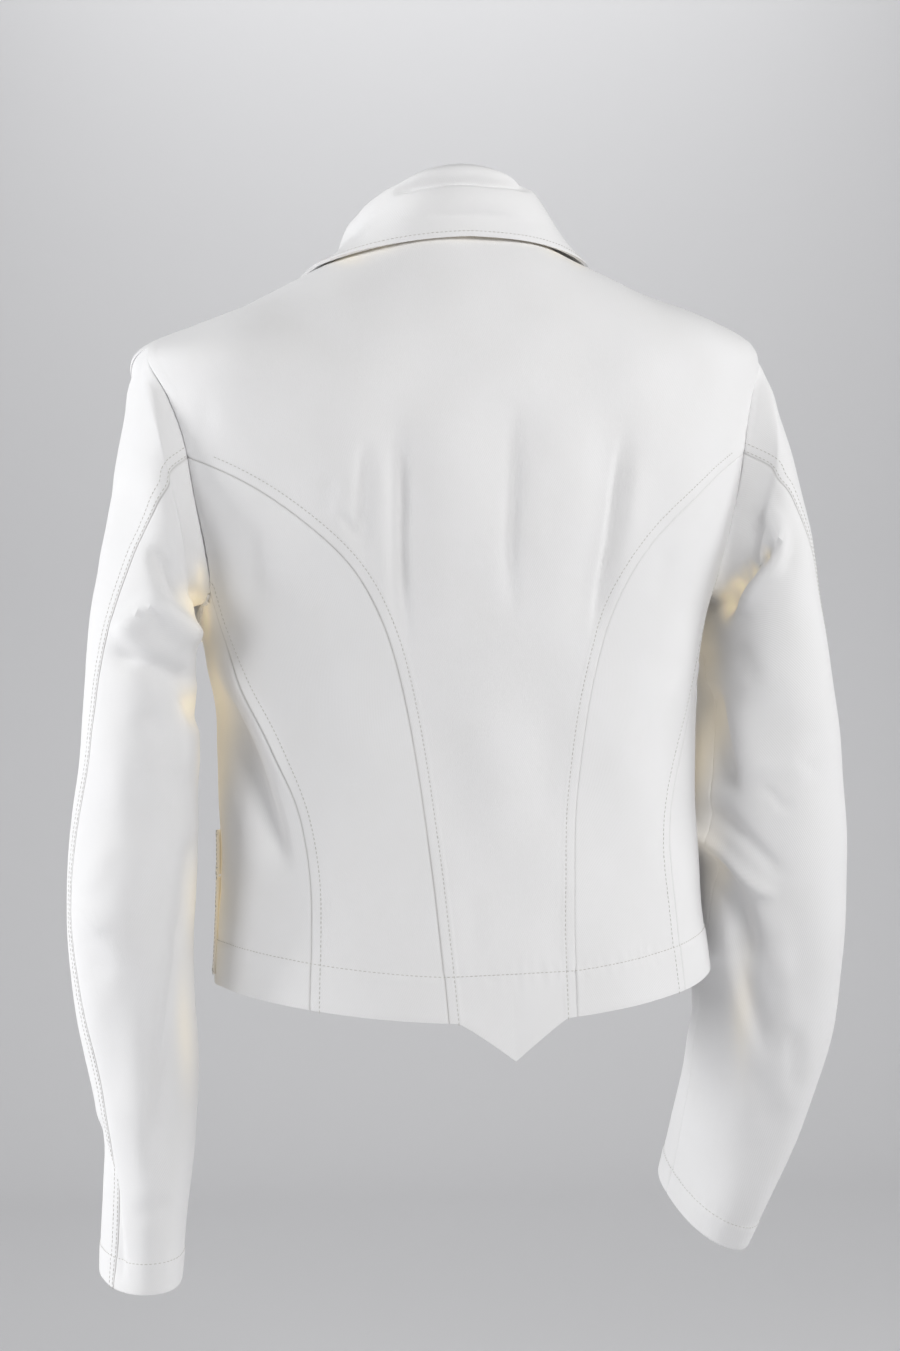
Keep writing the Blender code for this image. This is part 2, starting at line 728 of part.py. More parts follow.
def fall_point(angle, row):
    """Outer point of the collar fall at an angle and a row of its profile."""
    roll = stand_point(angle, 1.0, rise=SEAM_GAP + COLLAR_CLOTH)
    edge = fall_edge_point(angle)
    steep = edge - roll
    level_way = unit(np.array((steep[0], steep[1], 0.0)))
    side_way = np.cross(np.array((0.0, 0.0, 1.0)), level_way)
    away = unit(np.cross(side_way, steep))
    if away @ level_way < 0:
        away = -away
    sideways = smooth_step(abs(angle) / 70.0)
    bulge_side = row.bulge_left if angle > 0 else row.bulge_right
    bulge = row.bulge_back + (bulge_side - row.bulge_back) * sideways
    return roll + steep * row.along + away * bulge


def build_collar_fall(collection):
    """Turned-down collar, from over the stand's top to its edge on the shoulders."""
    outer = np.array([[fall_point(angle, row) for angle in collar_angles()] for row in FALL_PROFILE])
    inward = np.zeros_like(outer)
    rows, columns = outer.shape[:2]
    for row in range(rows):
        for column in range(columns):
            down = outer[min(row + 1, rows - 1), column] - outer[max(row - 1, 0), column]
            across = outer[row, min(column + 1, columns - 1)] - outer[row, max(column - 1, 0)]
            normal = unit(np.cross(down, across))
            inward[row, column] = -normal * COLLAR_CLOTH
    inward[0] = (0.0, 0.0, -COLLAR_CLOTH)
    reference = outer[2, columns // 2]
    if inward[2, columns // 2] @ np.array((reference[0], reference[1], 0.0)) > 0:
        inward[1:] = -inward[1:]
    wall("collar_fall", outer, inward, collection)


def build_lapel(word, side, collection):
    """Turned-back top of a front, lying on it from the roll line out."""
    foot = LAPEL_BREAK_LEFT if side == LEFT else LAPEL_BREAK_RIGHT
    roll = roll_line(side, foot, LAPEL_ROWS * 4)
    roll = [place for place in roll if place[0] >= LAPEL_TOP_ANGLE]
    inner_stops = [Stop(level, angle) for angle, level in roll]
    inner = curve(inner_stops, LAPEL_ROWS)
    edge_stops = LAPEL_EDGE + (Stop(foot, inner[0][0] - LAPEL_FOOT_WIDTH),)
    outer_edge = curve(edge_stops, LAPEL_ROWS)[::-1]
    bottom = line(outer_edge[0], inner[0], LAPEL_STEPS)
    top = line(outer_edge[-1], inner[-1], LAPEL_STEPS)
    domain = coons(bottom, top, outer_edge, inner)
    outer = np.array([
        [body_point(side * angle, level, CLOTH + LAPEL_LIFT + lap_lift(side, level)) for angle, level in row]
        for row in domain
    ])
    wall(f"lapel_{word}", outer, body_inward(domain, side), collection)


def build_patch(name, side, angles, levels, rows, collection):
    """A piece that lies flat on a front, between two angles and two levels."""
    domain = coons(
        line((angles[0], levels[0]), (angles[1], levels[0]), POCKET_STEPS),
        line((angles[0], levels[1]), (angles[1], levels[1]), POCKET_STEPS),
        line((angles[0], levels[0]), (angles[0], levels[1]), rows),
        line((angles[1], levels[0]), (angles[1], levels[1]), rows),
    )
    outer = body_grid(domain, side, CLOTH + LIE_GAP)
    wall(name, outer, body_inward(domain, side), collection)


def build_button(index, level, collection):
    """A plain round button on the lapped front edge."""
    spot = body_point(180.0, level, LAP_LIFT + LIE_GAP / 2)
    normal = body_normal(180.0, level)
    name = f"button_{index}"
    mesh = bpy.data.meshes.new(name)
    work = bmesh.new()
    bmesh.ops.create_cone(work, cap_ends=True, segments=BUTTON_SIDES, depth=BUTTON_THICK,
                          radius1=BUTTON_DIAMETER / 2, radius2=BUTTON_DIAMETER / 2)
    bmesh.ops.translate(work, verts=work.verts, vec=(0.0, 0.0, BUTTON_THICK / 2))
    work.to_mesh(mesh)
    work.free()
    item = new_object(name, mesh, WHITE_BUTTON, collection)
    item.rotation_euler = (math.atan2(-normal[1], normal[2]), 0.0, 0.0)
    item.location = spot
    bevel = item.modifiers.new("rounded edge", "BEVEL")
    bevel.width = BUTTON_BEVEL
    bevel.segments = 2
    bevel.limit_method = "ANGLE"


def clear_scene():
    """Start from an empty scene."""
    for item in list(bpy.data.objects):
        bpy.data.objects.remove(item, do_unlink=True)


def main():
    """Build every piece of the jacket."""
    clear_scene()
    jacket = bpy.data.collections.new("mess_jacket")
    bpy.context.scene.collection.children.link(jacket)
    build_back_centre(jacket)
    for word, side in SIDES:
        build_side_back(word, side, jacket)
        build_front(word, side, jacket)
        build_lapel(word, side, jacket)
        build_patch(f"pocket_{word}", side, POCKET_ANGLES, POCKET_LEVELS, POCKET_ROWS, jacket)
        build_patch(f"pocket_flap_{word}", side, FLAP_ANGLES, FLAP_LEVELS, FLAP_ROWS, jacket)
    build_sleeve("left", LEFT, LEFT_SLEEVE, jacket)
    build_sleeve("right", RIGHT, RIGHT_SLEEVE, jacket)
    build_collar_stand(jacket)
    build_collar_fall(jacket)
    for index, level in enumerate(BUTTON_LEVELS, start=1):
        build_button(index, level, jacket)


main()
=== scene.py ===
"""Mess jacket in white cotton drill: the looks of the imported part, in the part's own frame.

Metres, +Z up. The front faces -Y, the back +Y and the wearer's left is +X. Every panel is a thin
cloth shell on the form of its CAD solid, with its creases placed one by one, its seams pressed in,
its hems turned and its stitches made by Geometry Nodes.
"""

import logging
import math
from collections.abc import Callable, Sequence
from dataclasses import astuple, dataclass, field
from enum import Enum

import bpy
import numpy as np
from mathutils import Matrix, Vector
from mathutils.kdtree import KDTree


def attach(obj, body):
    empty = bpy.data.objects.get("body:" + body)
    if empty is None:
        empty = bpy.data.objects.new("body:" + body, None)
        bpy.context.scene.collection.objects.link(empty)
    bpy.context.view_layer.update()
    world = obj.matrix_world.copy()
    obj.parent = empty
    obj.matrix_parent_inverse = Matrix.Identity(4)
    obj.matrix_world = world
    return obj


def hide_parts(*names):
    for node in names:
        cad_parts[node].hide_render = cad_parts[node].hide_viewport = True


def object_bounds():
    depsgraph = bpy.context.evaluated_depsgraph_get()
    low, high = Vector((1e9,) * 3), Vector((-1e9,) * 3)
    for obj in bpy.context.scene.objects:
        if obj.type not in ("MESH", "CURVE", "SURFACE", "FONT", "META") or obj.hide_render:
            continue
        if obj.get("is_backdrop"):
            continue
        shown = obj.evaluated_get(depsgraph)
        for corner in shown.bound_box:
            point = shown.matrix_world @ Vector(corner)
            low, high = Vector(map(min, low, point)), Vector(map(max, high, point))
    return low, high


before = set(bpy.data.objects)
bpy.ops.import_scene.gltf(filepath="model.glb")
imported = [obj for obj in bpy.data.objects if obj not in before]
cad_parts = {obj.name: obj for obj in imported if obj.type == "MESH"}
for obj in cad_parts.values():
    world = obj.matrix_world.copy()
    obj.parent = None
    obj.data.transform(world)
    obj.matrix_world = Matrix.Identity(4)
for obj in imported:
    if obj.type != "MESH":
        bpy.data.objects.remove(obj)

Array = np.ndarray
Places = Sequence[float] | Array
Edge = Callable[[Array], Array]

LOG = logging.getLogger("mess_jacket")
MM = 0.001


class Side(Enum):
    """A side of the wearer, as the sign of x."""

    LEFT = 1
    RIGHT = -1

    @property
    def word(self) -> str:
        """The side's name in piece names."""
        return self.name.lower()


class Face(Enum):
    """Which face of the jacket a crease is drawn on: the one in the picture or the hidden one."""

    BACK = 1
    FRONT = -1


# ---------------------------------------------------------------- smooth lines and tables


def smooth_step(value: Array | float) -> Array:
    """0 below 0, 1 above 1 and smooth between."""
    value = np.clip(value, 0.0, 1.0)
    return value * value * (3 - 2 * value)


def hermite(before: Array, start: Array, end: Array, after: Array, part: Array) -> Array:
    """Smooth values between start and end, for neighbours on both sides."""
    square, cube = part ** 2, part ** 3
    return (
        (2 * cube - 3 * square + 1) * start
        + (cube - 2 * square + part) * (end - before) / 2
        + (3 * square - 2 * cube) * end
        + (cube - square) * (after - start) / 2
    )


GRADE_GROWTH = 1.3
GRADE_PASSES = 12
FINE_STEPS = 12


def blend_rows(rows: Array, places: Places, closed: bool = False) -> Array:
    """Smooth values between the rows of a table.

    Args:
        rows: the table, one entry a row.
        places: where to read it, counted in rows.
        closed: whether the last row is followed by the first.

    Returns:
        One blended entry for each place.
    """
    table, places = np.asarray(rows, dtype=float), np.asarray(places, dtype=float)
    low, count = np.floor(places).astype(int), len(table)
    if closed:
        window = [table[(low + step - 1) % count] for step in range(4)]
    else:
        low = np.clip(low, 0, count - 2)
        padded = np.concatenate((2 * table[:1] - table[1:2], table, 2 * table[-1:] - table[-2:-1]))
        window = [padded[low + step] for step in range(4)]
    part = (places - low).reshape(places.shape + (1,) * (table.ndim - 1))
    return hermite(*window, part)


def read_at(rows: Array, values: Array) -> Array:
    """Smooth values of a table where its first column has the given values."""
    table = np.asarray(rows, dtype=float)
    return blend_rows(table, np.interp(values, table[:, 0], np.arange(len(table))))


def units(vectors: Array) -> Array:
    """Vectors of length 1, along the last axis."""
    return vectors / np.maximum(np.linalg.norm(vectors, axis=-1, keepdims=True), 1e-12)


def run_lengths(points: Array) -> Array:
    """Length along a line of points, at each point."""
    steps = np.linalg.norm(np.diff(points, axis=0), axis=-1)
    return np.concatenate((np.zeros((1,) + steps.shape[1:]), np.cumsum(steps, axis=0)))


def resample(points: Array, step: float) -> Array:
    """Points of a line again, at an even step of length."""
    run = run_lengths(points)
    count = max(int(math.ceil(run[-1] / step)), 1)
    even = np.linspace(0, run[-1], count + 1)
    return np.stack([np.interp(even, run, points[:, axis]) for axis in range(points.shape[1])], axis=1)


def smooth_line(points: Sequence[Sequence[float]], step: float) -> Array:
    """An even line that passes smoothly through a few points."""
    last = len(points) - 1
    return resample(blend_rows(points, np.linspace(0, last, FINE_STEPS * last + 1)), step)


def smoothed(values: Array, reach: float) -> Array:
    """A row of values with its small kinks eased, and both ends kept."""
    half = int(3 * reach)
    weights = np.exp(-((np.arange(-half, half + 1) / reach) ** 2) / 2)
    before = 2 * values[0] - values[half:0:-1]
    after = 2 * values[-1] - values[-2:-half - 2:-1]
    return np.convolve(np.concatenate((before, values, after)), weights / weights.sum(), "valid")


def graded(count: int, first_start: float = 0.0, first_end: float = 0.0) -> Array:
    """Shares from 0 to 1 with small steps next to a sewn end that grow to an even step.

    Args:
        count: number of steps.
        first_start: the first step at 0, or 0 where the steps are even from there on.
        first_end: the same at 1.

    Returns:
        count + 1 shares.
    """
    even, index = 1.0 / count, np.arange(count)
    for _ in range(GRADE_PASSES):
        steps = np.full(count, even)
        if first_start:
            steps = np.minimum(steps, first_start * GRADE_GROWTH ** index)
        if first_end:
            steps = np.minimum(steps, first_end * GRADE_GROWTH ** index[::-1])
        even *= 1.0 / steps.sum()
    run = np.concatenate(([0.0], np.cumsum(steps)))
    return run / run[-1]


def lerp(start: Array, end: Array, shares: Array) -> Array:
    """Places on a straight line."""
    shares = np.asarray(shares, float)[:, None]
    return np.asarray(start, float) * (1 - shares) + np.asarray(end, float) * shares


def joined(*parts: tuple[int, Edge]) -> Edge:
    """One edge made of several, each with the number of rows that it takes up."""
    total = sum(rows for rows, _edge in parts)

    def edge(shares: Array) -> Array:
        """Places on the whole edge."""
        shares = np.asarray(shares, float)
        result, start, run = np.zeros((len(shares), 2)), 0.0, 0
        for rows, part in parts:
            run += rows
            stop = run / total
            inside = (shares >= start) & (shares <= stop + 1e-9)
            if inside.any():
                result[inside] = part(np.clip((shares[inside] - start) / (stop - start), 0, 1))
            start = stop
        return result

    return edge


def coons(left: Edge, right: Edge, across: Array, up: Array, top: Edge | None = None) -> Array:
    """Angle and level grid between four edges, rows from bottom to top.

    Args:
        left: the edge at the left, from the bottom up.
        right: the edge at the right.
        across: shares of the bottom and top edges.
        up: shares of the left and right edges.
        top: the top edge from left to right, or none where it is straight, as the bottom edge is.

    Returns:
        Angle and level at each row and column.
    """
    ends = np.array((0.0, 1.0))
    (a, c), (b, d) = left(ends), right(ends)
    high = (lerp(c, d, across) if top is None else top(across))[None]
    low, start, end = lerp(a, b, across)[None], left(up)[:, None], right(up)[:, None]
    u, v = across[None, :, None], up[:, None, None]
    corners = (1 - u) * (1 - v) * a + u * (1 - v) * b + (1 - u) * v * c + u * v * d
    return (1 - v) * low + v * high + (1 - u) * start + u * end - corners


# ---------------------------------------------------------------- the form of the body


@dataclass(frozen=True)
class Ring:
    """One ring round the body, through a side, a back and a front point, in metres."""

    side_x: float
    side_y: float
    side_z: float
    back_y: float
    back_z: float
    front_y: float
    front_z: float


@dataclass(frozen=True)
class Fold:
    """A soft trough of the back's form, from a top point to a low point, in metres."""

    x_top: float
    z_top: float
    x_low: float
    z_low: float
    width: float
    depth: float


LEVEL_STEP = 0.02
ANGLE_STEP = 0.5
HALVINGS = 36
SEAM_LEVELS = 161
SEAM_EASE = 5.0
CAD_ARMHOLE_ROWS = (6, 6, 15)
AXIS_STEPS = 64


def squircle(turn: Array, squareness: float) -> tuple[Array, Array]:
    """Sine and cosine on a rounded square, which is a circle where squareness is 2."""
    sine, cosine = np.sin(turn), np.cos(turn)
    radius = (np.abs(sine) ** squareness + np.abs(cosine) ** squareness) ** (-1 / squareness)
    return radius * sine, radius * cosine


@dataclass(frozen=True)
class BodySizes:
    """Sizes of the body's form, from the hem up."""

    rings: tuple[Ring, ...] = (
        Ring(0.1625, 0.000, -0.483, 0.112, -0.505, -0.112, -0.472),
        Ring(0.1590, 0.000, -0.430, 0.103, -0.437, -0.107, -0.425),
        Ring(0.1575, 0.000, -0.370, 0.097, -0.372, -0.104, -0.370),
        Ring(0.1600, 0.000, -0.310, 0.099, -0.310, -0.113, -0.312),
        Ring(0.1665, 0.000, -0.255, 0.107, -0.255, -0.127, -0.258),
        Ring(0.1835, 0.000, -0.203, 0.113, -0.203, -0.130, -0.206),
        Ring(0.1990, 0.002, -0.152, 0.112, -0.153, -0.116, -0.158),
        Ring(0.2050, 0.003, -0.110, 0.105, -0.112, -0.098, -0.122),
        Ring(0.2030, 0.003, -0.072, 0.093, -0.078, -0.084, -0.094),
        Ring(0.1330, -0.002, -0.041, 0.074, -0.036, -0.074, -0.070),
        Ring(0.0620, -0.006, -0.012, 0.054, 0.000, -0.066, -0.052),
    )
    squareness: float = 2.3
    shoulder_drop: float = 0.005
    drop_reach: float = 0.100
    drop_levels: tuple[float, float] = (7.0, 8.5)
    point_drop: float = 0.024
    point_half: float = 0.036
    point_reach: float = 0.8
    point_curve: float = 1.15
    point_fade: float = 1.5
    fold_start: tuple[float, float] = (-0.25, 0.5)
    fold_end: tuple[float, float] = (1.35, 0.6)
    roll: tuple[tuple[float, float], ...] = ((5.3, 167.0), (7.6, 149.0), (9.2, 133.0))
    inside: tuple[float, float, float] = (0.0, 0.0, -0.25)
    folds: tuple[Fold, ...] = (
        Fold(0.064, -0.135, 0.061, -0.250, 0.016, 0.0042),
        Fold(-0.010, -0.130, -0.008, -0.235, 0.018, 0.0026),
        Fold(-0.079, -0.137, -0.058, -0.250, 0.016, 0.0040),
    )
    princess: tuple[tuple[float, float], ...] = (
        (0.00, 0.0420), (1.00, 0.0450), (2.00, 0.0500), (3.00, 0.0590), (3.90, 0.0720),
        (4.60, 0.0900), (5.10, 0.1130), (5.55, 0.1410), (5.90, 0.1660), (6.10, 0.1850),
    )
    side_seam: tuple[tuple[float, float], ...] = (
        (0.00, 0.1230), (0.80, 0.1200), (1.40, 0.1190), (2.00, 0.1240),
        (2.60, 0.1360), (3.20, 0.1490), (3.80, 0.1590), (4.45, 0.1690),
    )
    armhole: tuple[tuple[float, float], ...] = (
        (8.00, 83.0), (7.15, 69.0), (6.10, 0.0), (4.45, 0.0),
        (4.50, 92.0), (4.95, 108.0), (6.10, 117.0), (7.20, 107.0),
    )
    princess_stop: int = 2
    side_stop: int = 3
    shoulder_angle: float = 83.0
    gorge_angle: float = 124.0
    break_level: float = 3.3
    edge_angle_left: float = 185.0
    edge_angle_right: float = 188.0
    lap_lift: float = 0.0028
    lap_top: float = 4.4
    lap_fade: float = 2.0


class BodyForm:
    """The jacket's body as one surface, read by an angle round it and a level up it."""

    def __init__(self, sizes: BodySizes) -> None:
        """Keep the sizes and put the seams' ends on the armhole."""
        self.sizes = sizes
        self.rings = np.array([astuple(ring) for ring in sizes.rings])
        self.neck_level = float(len(sizes.rings) - 1)
        self.stops = np.array(sizes.armhole)
        for index, seam in ((sizes.princess_stop, sizes.princess), (sizes.side_stop, sizes.side_seam)):
            level, x = seam[-1]
            self.stops[index] = level, self.angle_at(np.array([x]), np.array([level]))[0]

    def base(self, angle: Array, level: Array) -> Array:
        """Points of the surface without folds."""
        sizes = self.sizes
        angle, level = np.broadcast_arrays(np.asarray(angle, float), np.asarray(level, float))
        side_x, side_y, side_z, back_y, back_z, front_y, front_z = np.moveaxis(
            blend_rows(self.rings, level), -1, 0)
        turn = np.radians(angle)
        across, along = squircle(turn, sizes.squareness)
        back = along > 0
        x = side_x * across
        y = side_y + (np.where(back, back_y, front_y) - side_y) * np.abs(along)
        z = side_z + (np.where(back, back_z, front_z) - side_z) * np.cos(turn) ** 2
        beside = np.maximum(0.0, 1 - np.abs(x) / sizes.point_half)
        reach = np.clip(1 - np.maximum(level, 0.0) / sizes.point_reach, 0.0, 1.0)
        point = sizes.point_drop * beside ** sizes.point_curve * reach ** sizes.point_fade
        start, full = sizes.drop_levels
        fade = smooth_step((level - start) / (full - start)) * smooth_step(self.neck_level - level)
        shoulder = sizes.shoulder_drop * smooth_step(x / sizes.drop_reach) * fade
        return np.stack((x, y, z - np.where(back, point, 0.0) - shoulder), axis=-1)

    def normal(self, angle: Array, level: Array) -> Array:
        """Outward unit normals of the surface."""
        angle, level = np.asarray(angle, float), np.asarray(level, float)
        up = (self.base(angle, np.minimum(level + LEVEL_STEP, self.neck_level))
              - self.base(angle, np.maximum(level - LEVEL_STEP, 0.0)))
        across = self.base(angle + ANGLE_STEP, level) - self.base(angle - ANGLE_STEP, level)
        normal = units(np.cross(up, across))
        outward = self.base(angle, level) - np.array(self.sizes.inside)
        return normal * np.sign(np.sum(normal * outward, axis=-1, keepdims=True))

    def fold_depth(self, points: Array) -> Array:
        """How deep the soft troughs press in at points."""
        depth = np.zeros(points.shape[:-1])
        start, rise = self.sizes.fold_start
        end, fall = self.sizes.fold_end
        for fold in self.sizes.folds:
            run = np.array((fold.x_low - fold.x_top, fold.z_low - fold.z_top))
            offset_x, offset_z = points[..., 0] - fold.x_top, points[..., 2] - fold.z_top
            along = (offset_x * run[0] + offset_z * run[1]) / (run @ run)
            beside = np.abs(offset_x * run[1] - offset_z * run[0]) / np.linalg.norm(run)
            fade = smooth_step((along - start) / rise) * smooth_step((end - along) / fall)
            depth = depth + fold.depth * fade * np.exp(-((beside / fold.width) ** 2))
        return np.where(points[..., 1] >= 0, depth, 0.0)

    def point(self, angle: Array, level: Array, lift: Array | float = 0.0) -> Array:
        """Points of the outer cloth surface, moved out by lift."""
        base = self.base(angle, level)
        distance = np.asarray(lift) - self.fold_depth(base)
        return base + self.normal(angle, level) * distance[..., None]

    def angle_at(self, x: Array, level: Array) -> Array:
        """Angles on the back at which the body is x from the middle."""
        low, high = np.zeros_like(x), np.full_like(x, 90.0)
        for _ in range(HALVINGS):
            middle = (low + high) / 2
            short = self.base(middle, level)[..., 0] < x
            low, high = np.where(short, middle, low), np.where(short, high, middle)
        return (low + high) / 2

    def seam(self, stations: Sequence[tuple[float, float]], shares: Array) -> Array:
        """A back seam from the hem up, as angle and level, at shares of its length."""
        table = np.array(stations)
        fine = np.linspace(table[0, 0], table[-1, 0], SEAM_LEVELS)
        eased = smoothed(read_at(table, fine)[:, 1], SEAM_EASE)

        def places(levels: Array) -> Array:
            """Angle and level of the seam at levels."""
            return np.stack((self.angle_at(np.interp(levels, fine, eased), levels), levels), axis=1)

        run = run_lengths(self.base(*places(fine).T))
        return places(np.interp(np.asarray(shares) * run[-1], run, fine))

    def armhole(self, places: Array) -> Array:
        """Places on the armhole, counted in stops, as angle and level."""
        return blend_rows(self.stops, places, closed=True)[:, ::-1]

    def shoulder(self, shares: Array) -> Array:
        """The shoulder seam from the armhole to the neck, as angle and level."""
        return lerp(self.armhole(np.zeros(1))[0], (self.sizes.shoulder_angle, self.neck_level), shares)

    def armhole_points(self, side: Side, places: Array) -> Array:
        """Points of the armhole seam on one side."""
        angle, level = self.armhole(places).T
        return self.point(side.value * angle, level)

    def armhole_centre(self, side: Side) -> Array:
        """Middle of one armhole, from the places that the CAD pieces have on it."""
        ends = (0, self.sizes.princess_stop, self.sizes.side_stop, len(self.stops))
        places = [np.linspace(start, stop, rows, endpoint=False)
                  for start, stop, rows in zip(ends, ends[1:], CAD_ARMHOLE_ROWS)]
        return self.armhole_points(side, np.concatenate(places)).mean(axis=0)

    def edge_angle(self, side: Side) -> float:
        """Angle of the edge of one front."""
        return self.sizes.edge_angle_left if side is Side.LEFT else self.sizes.edge_angle_right

    def roll_line(self, side: Side, start_level: float, shares: Array) -> Array:
        """Line along which the lapel turns back, from a level up to the gorge."""
        sizes = self.sizes
        stops = np.array((
            (sizes.break_level, self.edge_angle(side)), *sizes.roll, (self.neck_level, sizes.gorge_angle)))
        start = np.interp(start_level, stops[:, 0], np.arange(len(stops)))
        return blend_rows(stops, start + (len(stops) - 1 - start) * np.asarray(shares))[:, ::-1]

    def lap_lift(self, side: Side, level: Array) -> Array:
        """How far the right front is lifted off the left one."""
        if side is Side.LEFT:
            return np.zeros_like(level)
        return self.sizes.lap_lift * (1 - smooth_step((level - self.sizes.lap_top) / self.sizes.lap_fade))


# ---------------------------------------------------------------- the form of the sleeves


@dataclass(frozen=True)
class Cuff:
    """One ring of a sleeve: its outer and inner points seen from behind, and its depth."""

    outer_x: float
    outer_z: float
    inner_x: float
    inner_z: float
    mid_y: float
    half_depth: float
    pitch: float
    turn: float


LEFT_SLEEVE: tuple[Cuff, ...] = (
    Cuff(0.2085, -0.092, 0.1805, -0.243, 0.002, 0.057, 0, 6),
    Cuff(0.2125, -0.110, 0.1795, -0.252, 0.003, 0.060, 0, 2),
    Cuff(0.2190, -0.142, 0.1780, -0.264, 0.004, 0.061, 0, -10),
    Cuff(0.2285, -0.191, 0.1765, -0.281, 0.005, 0.060, 0, -27),
    Cuff(0.2400, -0.250, 0.1755, -0.309, 0.004, 0.058, 0, -42),
    Cuff(0.2460, -0.316, 0.1755, -0.347, 0.002, 0.057, -2, -54),
    Cuff(0.2530, -0.370, 0.1765, -0.390, -0.001, 0.056, -4, -62),
    Cuff(0.2585, -0.424, 0.1770, -0.435, -0.006, 0.055, -5, -64),
    Cuff(0.2560, -0.478, 0.1765, -0.483, -0.012, 0.053, -6, -60),
    Cuff(0.2460, -0.527, 0.1765, -0.530, -0.018, 0.051, -6, -54),
    Cuff(0.2375, -0.576, 0.1785, -0.577, -0.024, 0.050, -6, -50),
    Cuff(0.2360, -0.624, 0.1835, -0.624, -0.030, 0.049, -6, -48),
    Cuff(0.2365, -0.671, 0.1880, -0.668, -0.035, 0.049, -6, -48),
)
RIGHT_SLEEVE: tuple[Cuff, ...] = (
    Cuff(0.2130, -0.092, 0.1805, -0.243, 0.004, 0.057, 0, 6),
    Cuff(0.2185, -0.110, 0.1795, -0.252, 0.006, 0.060, 0, 2),
    Cuff(0.2270, -0.143, 0.1780, -0.264, 0.009, 0.061, 0, -10),
    Cuff(0.2375, -0.193, 0.1765, -0.284, 0.012, 0.060, 0, -26),
    Cuff(0.2450, -0.252, 0.1735, -0.313, 0.015, 0.059, 2, -40),
    Cuff(0.2530, -0.313, 0.1695, -0.350, 0.016, 0.058, 2, -50),
    Cuff(0.2590, -0.377, 0.1675, -0.392, 0.012, 0.058, -4, -56),
    Cuff(0.2635, -0.433, 0.1670, -0.436, 0.003, 0.057, -12, -56),
    Cuff(0.2650, -0.485, 0.1685, -0.480, -0.012, 0.055, -20, -52),
    Cuff(0.2630, -0.536, 0.1710, -0.524, -0.032, 0.053, -24, -48),
    Cuff(0.2540, -0.586, 0.1745, -0.569, -0.056, 0.051, -27, -46),
    Cuff(0.2410, -0.632, 0.1750, -0.612, -0.080, 0.050, -28, -46),
    Cuff(0.2280, -0.673, 0.1720, -0.652, -0.103, 0.050, -28, -46),
)


class SleeveForm:
    """One sleeve as a tube of rings from the armhole to the cuff."""

    squareness: float = 2.15

    def __init__(self, body: BodyForm, side: Side, cuffs: Sequence[Cuff], gap: float) -> None:
        """Keep the rings' table and the body that the sleeve is sewn to."""
        self.body = body
        self.side = side
        self.cuffs = cuffs
        self.gap = gap

    def axis(self) -> Array:
        """Unit direction out of the armhole."""
        places = np.linspace(0, len(self.body.stops), AXIS_STEPS + 1)
        arms = self.body.armhole_points(self.side, places) - self.body.armhole_centre(self.side)
        total = units(np.cross(arms[:-1], arms[1:]).sum(axis=0))
        return total if total[0] * self.side.value > 0 else -total

    def points(self, rows: Array, places: Array) -> Array:
        """Outer points at rows down the sleeve and places round the armhole."""
        mirror = np.array((self.side.value, 1, 1))
        armhole = self.body.armhole_points(self.side, places) * mirror
        centre = self.body.armhole_centre(self.side) * mirror
        angles = np.unwrap(np.arctan2(armhole[:, 1] - centre[1], armhole[:, 2] - centre[2]))
        rings = [armhole + self.gap * self.axis() * mirror]
        for cuff in self.cuffs:
            outer = np.array((cuff.outer_x, cuff.mid_y, cuff.outer_z))
            inner = np.array((cuff.inner_x, cuff.mid_y, cuff.inner_z))
            pitch = math.radians(cuff.pitch)
            depth = cuff.half_depth * np.array((0.0, math.cos(pitch), math.sin(pitch)))
            along, across = squircle(angles + math.radians(cuff.turn), self.squareness)
            rings.append((outer + inner) / 2 + across[:, None] * (outer - inner) / 2 + along[:, None] * depth)
        return blend_rows(np.array(rings), rows) * mirror


# ---------------------------------------------------------------- creases drawn on the picture


@dataclass(frozen=True)
class Picture:
    """The photo's view: it turns points of the frame into picture places, 900 by 1351."""

    width: float = 900.0
    height: float = 1351.0
    focal: float = 3366.0
    distance: float = 2.2
    azimuth: float = 164.0
    roll: float = 1.5
    eye_z: float = -0.288
    aim_x: float = 0.004

    @property
    def forward(self) -> Array:
        """Unit direction of view."""
        turn = math.radians(self.azimuth)
        return np.array((-math.sin(turn), math.cos(turn), 0.0))

    @property
    def right(self) -> Array:
        """Unit direction level to the right, before the roll."""
        ahead = self.forward
        return np.array((ahead[1], -ahead[0], 0.0))

    @property
    def eye(self) -> Array:
        """Place of the eye."""
        ahead = self.forward
        return np.array((self.aim_x - ahead[0] * self.distance, -ahead[1] * self.distance, self.eye_z))

    def project(self, points: Array) -> Array:
        """Picture places of points, from the top left corner."""
        offset = points - self.eye
        depth = offset @ self.forward
        u, v = offset @ self.right / depth * self.focal, offset[..., 2] / depth * self.focal
        cos, sin = math.cos(math.radians(self.roll)), math.sin(math.radians(self.roll))
        return np.stack((
            self.width / 2 + u * cos - v * sin, self.height / 2 - (u * sin + v * cos)), axis=-1)


@dataclass(frozen=True)
class Crease:
    """A trough of the cloth along a line of picture places; a negative depth makes a ridge.

    width is the reach to each side in mm and depth is in mm. lean from -1 to 1 makes the side on
    the left of the drawn line narrow and the other wide, or the other way round.
    """

    line: tuple[tuple[float, float], ...]
    depth: float
    width: float
    lean: float = 0.0
    fade: float = 0.35
    face: Face = Face.BACK


def hidden(line: tuple[tuple[float, float], ...], depth: float, width: float, lean: float = 0.0) -> Crease:
    """A crease on the hidden face."""
    return Crease(line, depth, width, lean, face=Face.FRONT)


